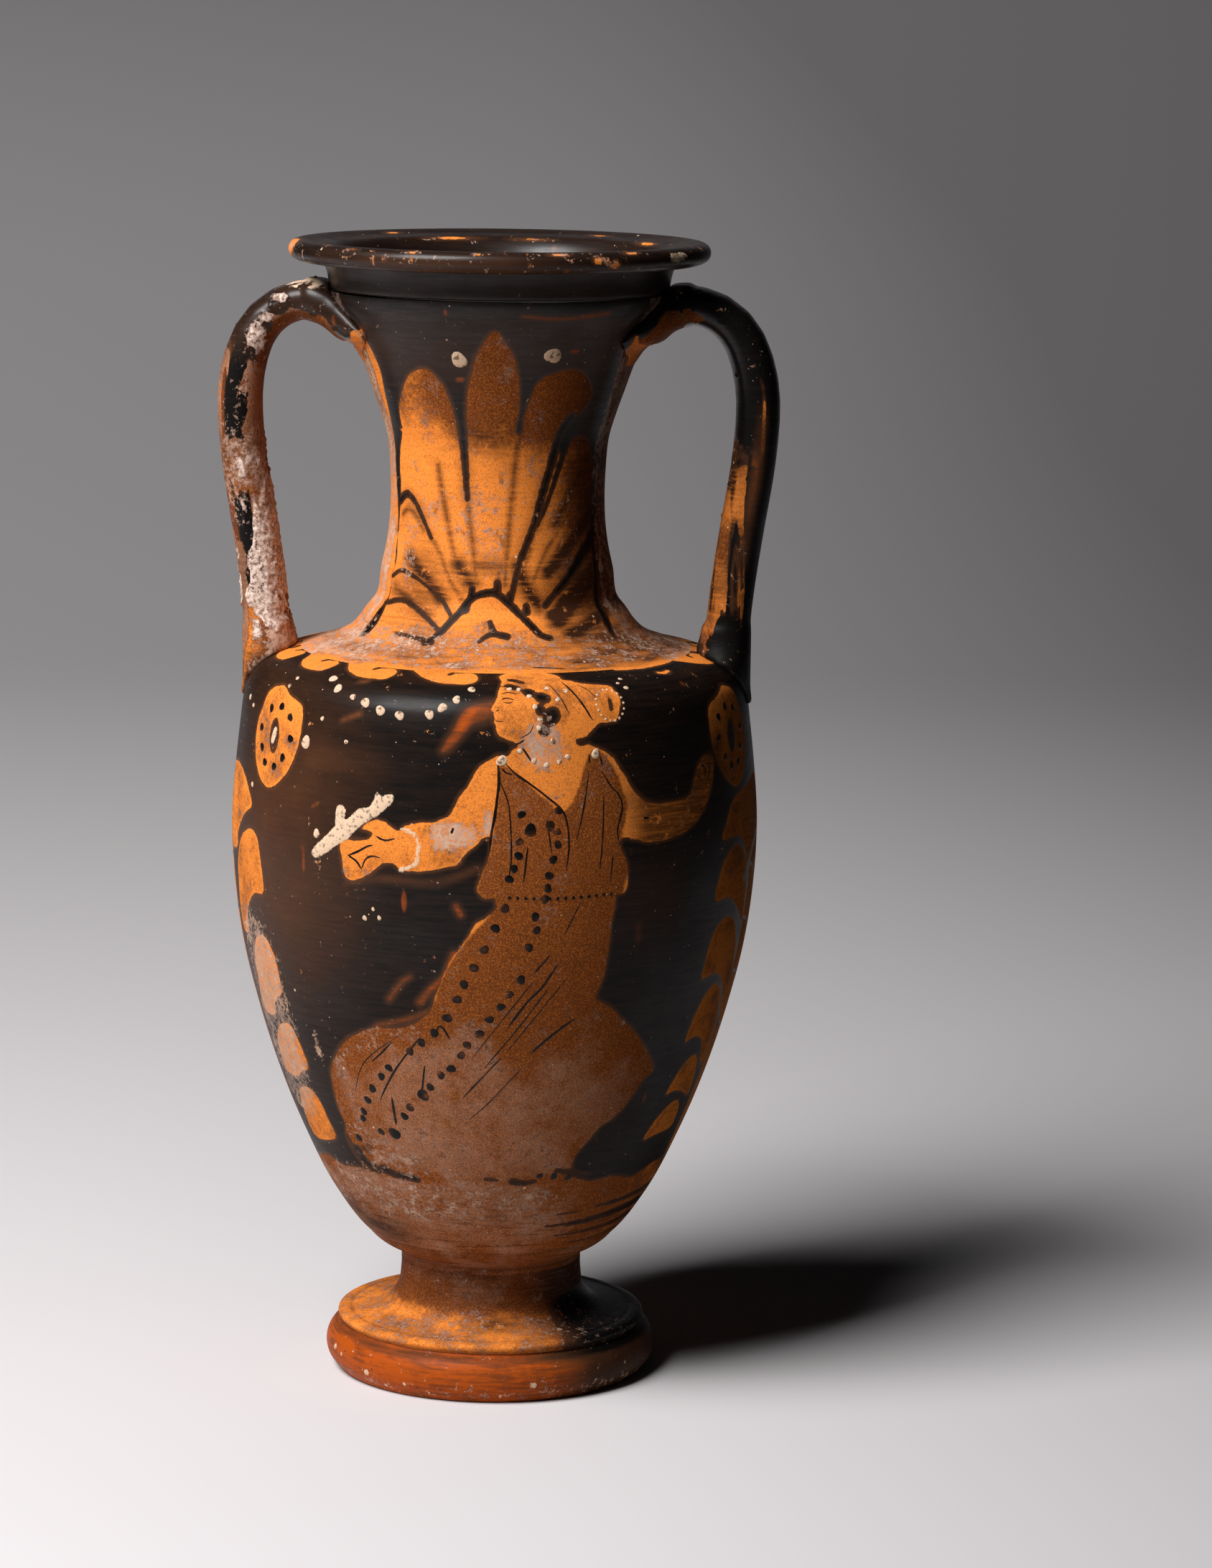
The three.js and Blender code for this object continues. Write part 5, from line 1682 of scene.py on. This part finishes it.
class AMPHORA_OT_dots(bpy.types.Operator):
    """Set the black studs of the robe and the rosette, and the dots of added white"""

    bl_idname = "amphora.dots"
    bl_label = "Set Dots"

    def execute(self, context):
        height = context.scene.amphora_sizes.dot_height / MM
        rosettes = [(turn, up, 1.3) for turn, up in ROSETTE_DOTS]
        rosettes += [(turn, up, 1.25) for turn, up in mirrored(ROSETTE_DOTS, ROSETTE_AXIS)]
        black = [*DOTS, *HEM_DOTS, *rosettes]
        rng = np.random.default_rng(3)
        studs = join("slip_dots", self.dots(black, 0.6 * height, rng))
        finish(studs, material(slip_line, "relief_slip"), "black_gloss", angle=80)
        pearls = join("white_dots", self.dots([*WHITE_DOTS, *CREAM_DOTS, *KNOT_DOTS], height, rng))
        finish(pearls, material(added_white, "added_white"), "added_white", angle=80)
        return {"FINISHED"}

    def dots(self, places, height, rng):
        """One low dome, copied to each place with its own uneven outline."""
        choose()
        bpy.ops.mesh.primitive_uv_sphere_add(segments=14, ring_count=8, radius=1)
        dome = bpy.context.object
        unit = places_of(dome) * MM
        angle = np.arctan2(unit[:, 1], unit[:, 0])
        made = []
        for turn, up, radius in places:
            copy = dome.copy()
            copy.data = dome.data.copy()
            bpy.context.scene.collection.objects.link(copy)
            wobble = 1 + 0.1 * np.sin(2 * angle + rng.uniform(0, 6))
            wobble = wobble + 0.07 * np.sin(3 * angle + rng.uniform(0, 6))
            degree = radians(1) * wall_at(up)[0, 0]
            sideways = unit[:, 0] * radius * wobble / degree
            upwards = unit[:, 1] * radius * wobble
            low = min(height, 0.3 * radius)
            move_to(copy, on_wall(turn + sideways, up + upwards, unit[:, 2] * low) / MM)
            made.append(copy)
        bpy.data.objects.remove(dome)
        return made


class AMPHORA_OT_stage(bpy.types.Operator):
    """Set the paper sweep, the soft lamps and the camera"""

    bl_idname = "amphora.stage"
    bl_label = "Set Stage"

    # The view, fitted to the outlines of lip, shoulder and foot, with lengths in metres
    distance = 1.5505
    height = 0.4417
    azimuth = radians(4)
    pitch = radians(9.454)
    yaw = radians(1.2605)
    roll = radians(0.722)
    focal_pixels = 7111
    image_height = 2184
    sensor = 36.0

    def execute(self, context):
        self.camera(context)
        self.sweep(context)
        self.lamps(context)
        context.scene.view_settings.view_transform = "Standard"
        return {"FINISHED"}

    def camera(self, context):
        data = bpy.data.cameras.new("view")
        data.sensor_width = self.sensor
        data.lens = self.focal_pixels / self.image_height * self.sensor
        data.clip_end = 50
        camera = bpy.data.objects.new("view", data)
        context.scene.collection.objects.link(camera)
        ahead = Vector((sin(self.yaw) * cos(self.pitch), cos(self.yaw) * cos(self.pitch), -sin(self.pitch)))
        right = Vector((cos(self.yaw), -sin(self.yaw), 0))
        up = right.cross(ahead)
        across = cos(self.roll) * right + sin(self.roll) * up
        upright = cos(self.roll) * up - sin(self.roll) * right
        turn = Matrix.Rotation(self.azimuth, 3, "Z")
        axes = Matrix((across, upright, -ahead)).transposed()
        place = turn @ Vector((0, -self.distance, self.height))
        camera.matrix_world = Matrix.Translation(place) @ (turn @ axes).to_4x4()
        context.scene.camera = camera

    def sweep(self, context):
        """A wide floor that curves up into the backdrop, its colour darkened by painted shade towards the
        back, the right and out of the picture.
        """
        light = context.scene.amphora_light
        choose()
        bpy.ops.mesh.primitive_grid_add(x_subdivisions=2, y_subdivisions=90, size=2)
        paper = bpy.context.object
        paper.name = "paper_sweep"
        grid = places_of(paper) * MM
        wide, front, back, bend, tall = 4, -2.6, 1.5, 1.4, 3  # metres
        run = (grid[:, 1] + 1) / 2 * (back - front + bend * pi / 2 + tall)
        flat = np.minimum(run, back - front)
        angle = np.clip((run - flat) / bend, 0, pi / 2)
        rise = np.maximum(run - flat - bend * pi / 2, 0)
        depth = front + flat + bend * np.sin(angle)
        height = bend * (1 - np.cos(angle)) + rise
        move_to(paper, np.stack([grid[:, 0] * wide, depth, height], -1) / MM)
        soften(paper, 60)
        paint = Recipe("paper")
        across, along, up = paint.axes()
        # painted shade: the paper darkens towards the back, the right and the top, as the lamp's light would
        # fall off
        far = along.step(0.3, 2.6) * 0.7 + across.step(-0.2, 0.7) * 0.75 + up.step(0.15, 0.55) * 0.3
        # painted shade: out of the picture the paper is dark, standing in for the dark studio round it
        off = across.step(0.3, 1.5).most((along * -1.0).step(0.3, 1.2)).most((across * -1.0).step(0.7, 1.8))
        base = paint.blend(off, paint.blend(far, light.paper, light.far_paper), light.off_paper)
        rays = paint.node("LightPath").outputs
        seen = Value(paint, rays["Is Camera Ray"]).most(Value(paint, rays["Is Glossy Ray"]))
        seen = seen.most(Value(paint, rays["Is Transmission Ray"]))
        # painted shade: in the light that it throws back, the paper is dark on the right and at the back,
        # which keeps the vessel's right side and its shadow on the floor dark
        shut = across.step(-0.05, 0.2).most(along.step(0.3, 0.9))
        thrown = paint.blend(shut, light.bounce, light.off_paper)
        base = paint.blend(seen, thrown, base)
        paper.data.materials.append(paint.surface(base, 0.9, paint.grain(1.2, 2), 0.05, 0.2))

    def lamps(self, context):
        light = context.scene.amphora_light
        for name, place, aim, size, watts in (
            ("key", (-0.80, -0.83, 1.55), (0, 0, 0.17), 0.9, light.key),
            ("backdrop", (-1.3, 1.0, 1.6), (-1.0, 2.0, 1.5), 0.8, light.backdrop),
        ):
            data = bpy.data.lights.new(name, "AREA")
            data.size = size
            data.energy = watts
            lamp = bpy.data.objects.new(name, data)
            lamp.location = place
            lamp.rotation_euler = (Vector(aim) - Vector(place)).to_track_quat("-Z", "Y").to_euler()
            context.scene.collection.objects.link(lamp)
        world = bpy.data.worlds.new("studio")
        world.use_nodes = True
        background = world.node_tree.nodes["Background"]
        background.inputs["Color"].default_value = (0.9, 0.93, 1.0, 1)
        background.inputs["Strength"].default_value = light.world
        context.scene.world = world


OPERATORS = (
    AMPHORA_OT_stage,
    AMPHORA_OT_foot,
    AMPHORA_OT_body,
    AMPHORA_OT_neck,
    AMPHORA_OT_mouth,
    AMPHORA_OT_handles,
    AMPHORA_OT_lines,
    AMPHORA_OT_dots,
)


class AMPHORA_PT_panel(bpy.types.Panel):
    """Lists the amphora's settings and steps in the sidebar"""

    bl_idname = "AMPHORA_PT_panel"
    bl_label = "Amphora"
    bl_space_type = "VIEW_3D"
    bl_region_type = "UI"
    bl_category = "Amphora"

    def draw(self, context):
        scene = context.scene
        for group in (scene.amphora_sizes, scene.amphora_colours, scene.amphora_light):
            box = self.layout.box()
            for name in group.__annotations__:
                box.prop(group, name)
        for operator in OPERATORS:
            self.layout.operator(operator.bl_idname)


GROUPS = {"amphora_sizes": AmphoraSizes, "amphora_colours": AmphoraColours, "amphora_light": AmphoraLight}
CLASSES = (*GROUPS.values(), *OPERATORS, AMPHORA_PT_panel)


def register():
    for entry in CLASSES:
        bpy.utils.register_class(entry)
    for name, group in GROUPS.items():
        setattr(bpy.types.Scene, name, bpy.props.PointerProperty(type=group))


def unregister():
    for name in GROUPS:
        delattr(bpy.types.Scene, name)
    for entry in reversed(CLASSES):
        bpy.utils.unregister_class(entry)


def main():
    register()
    for operator in OPERATORS:
        group, name = operator.bl_idname.split(".")
        getattr(getattr(bpy.ops, group), name)()


if __name__ == "__main__":
    main()
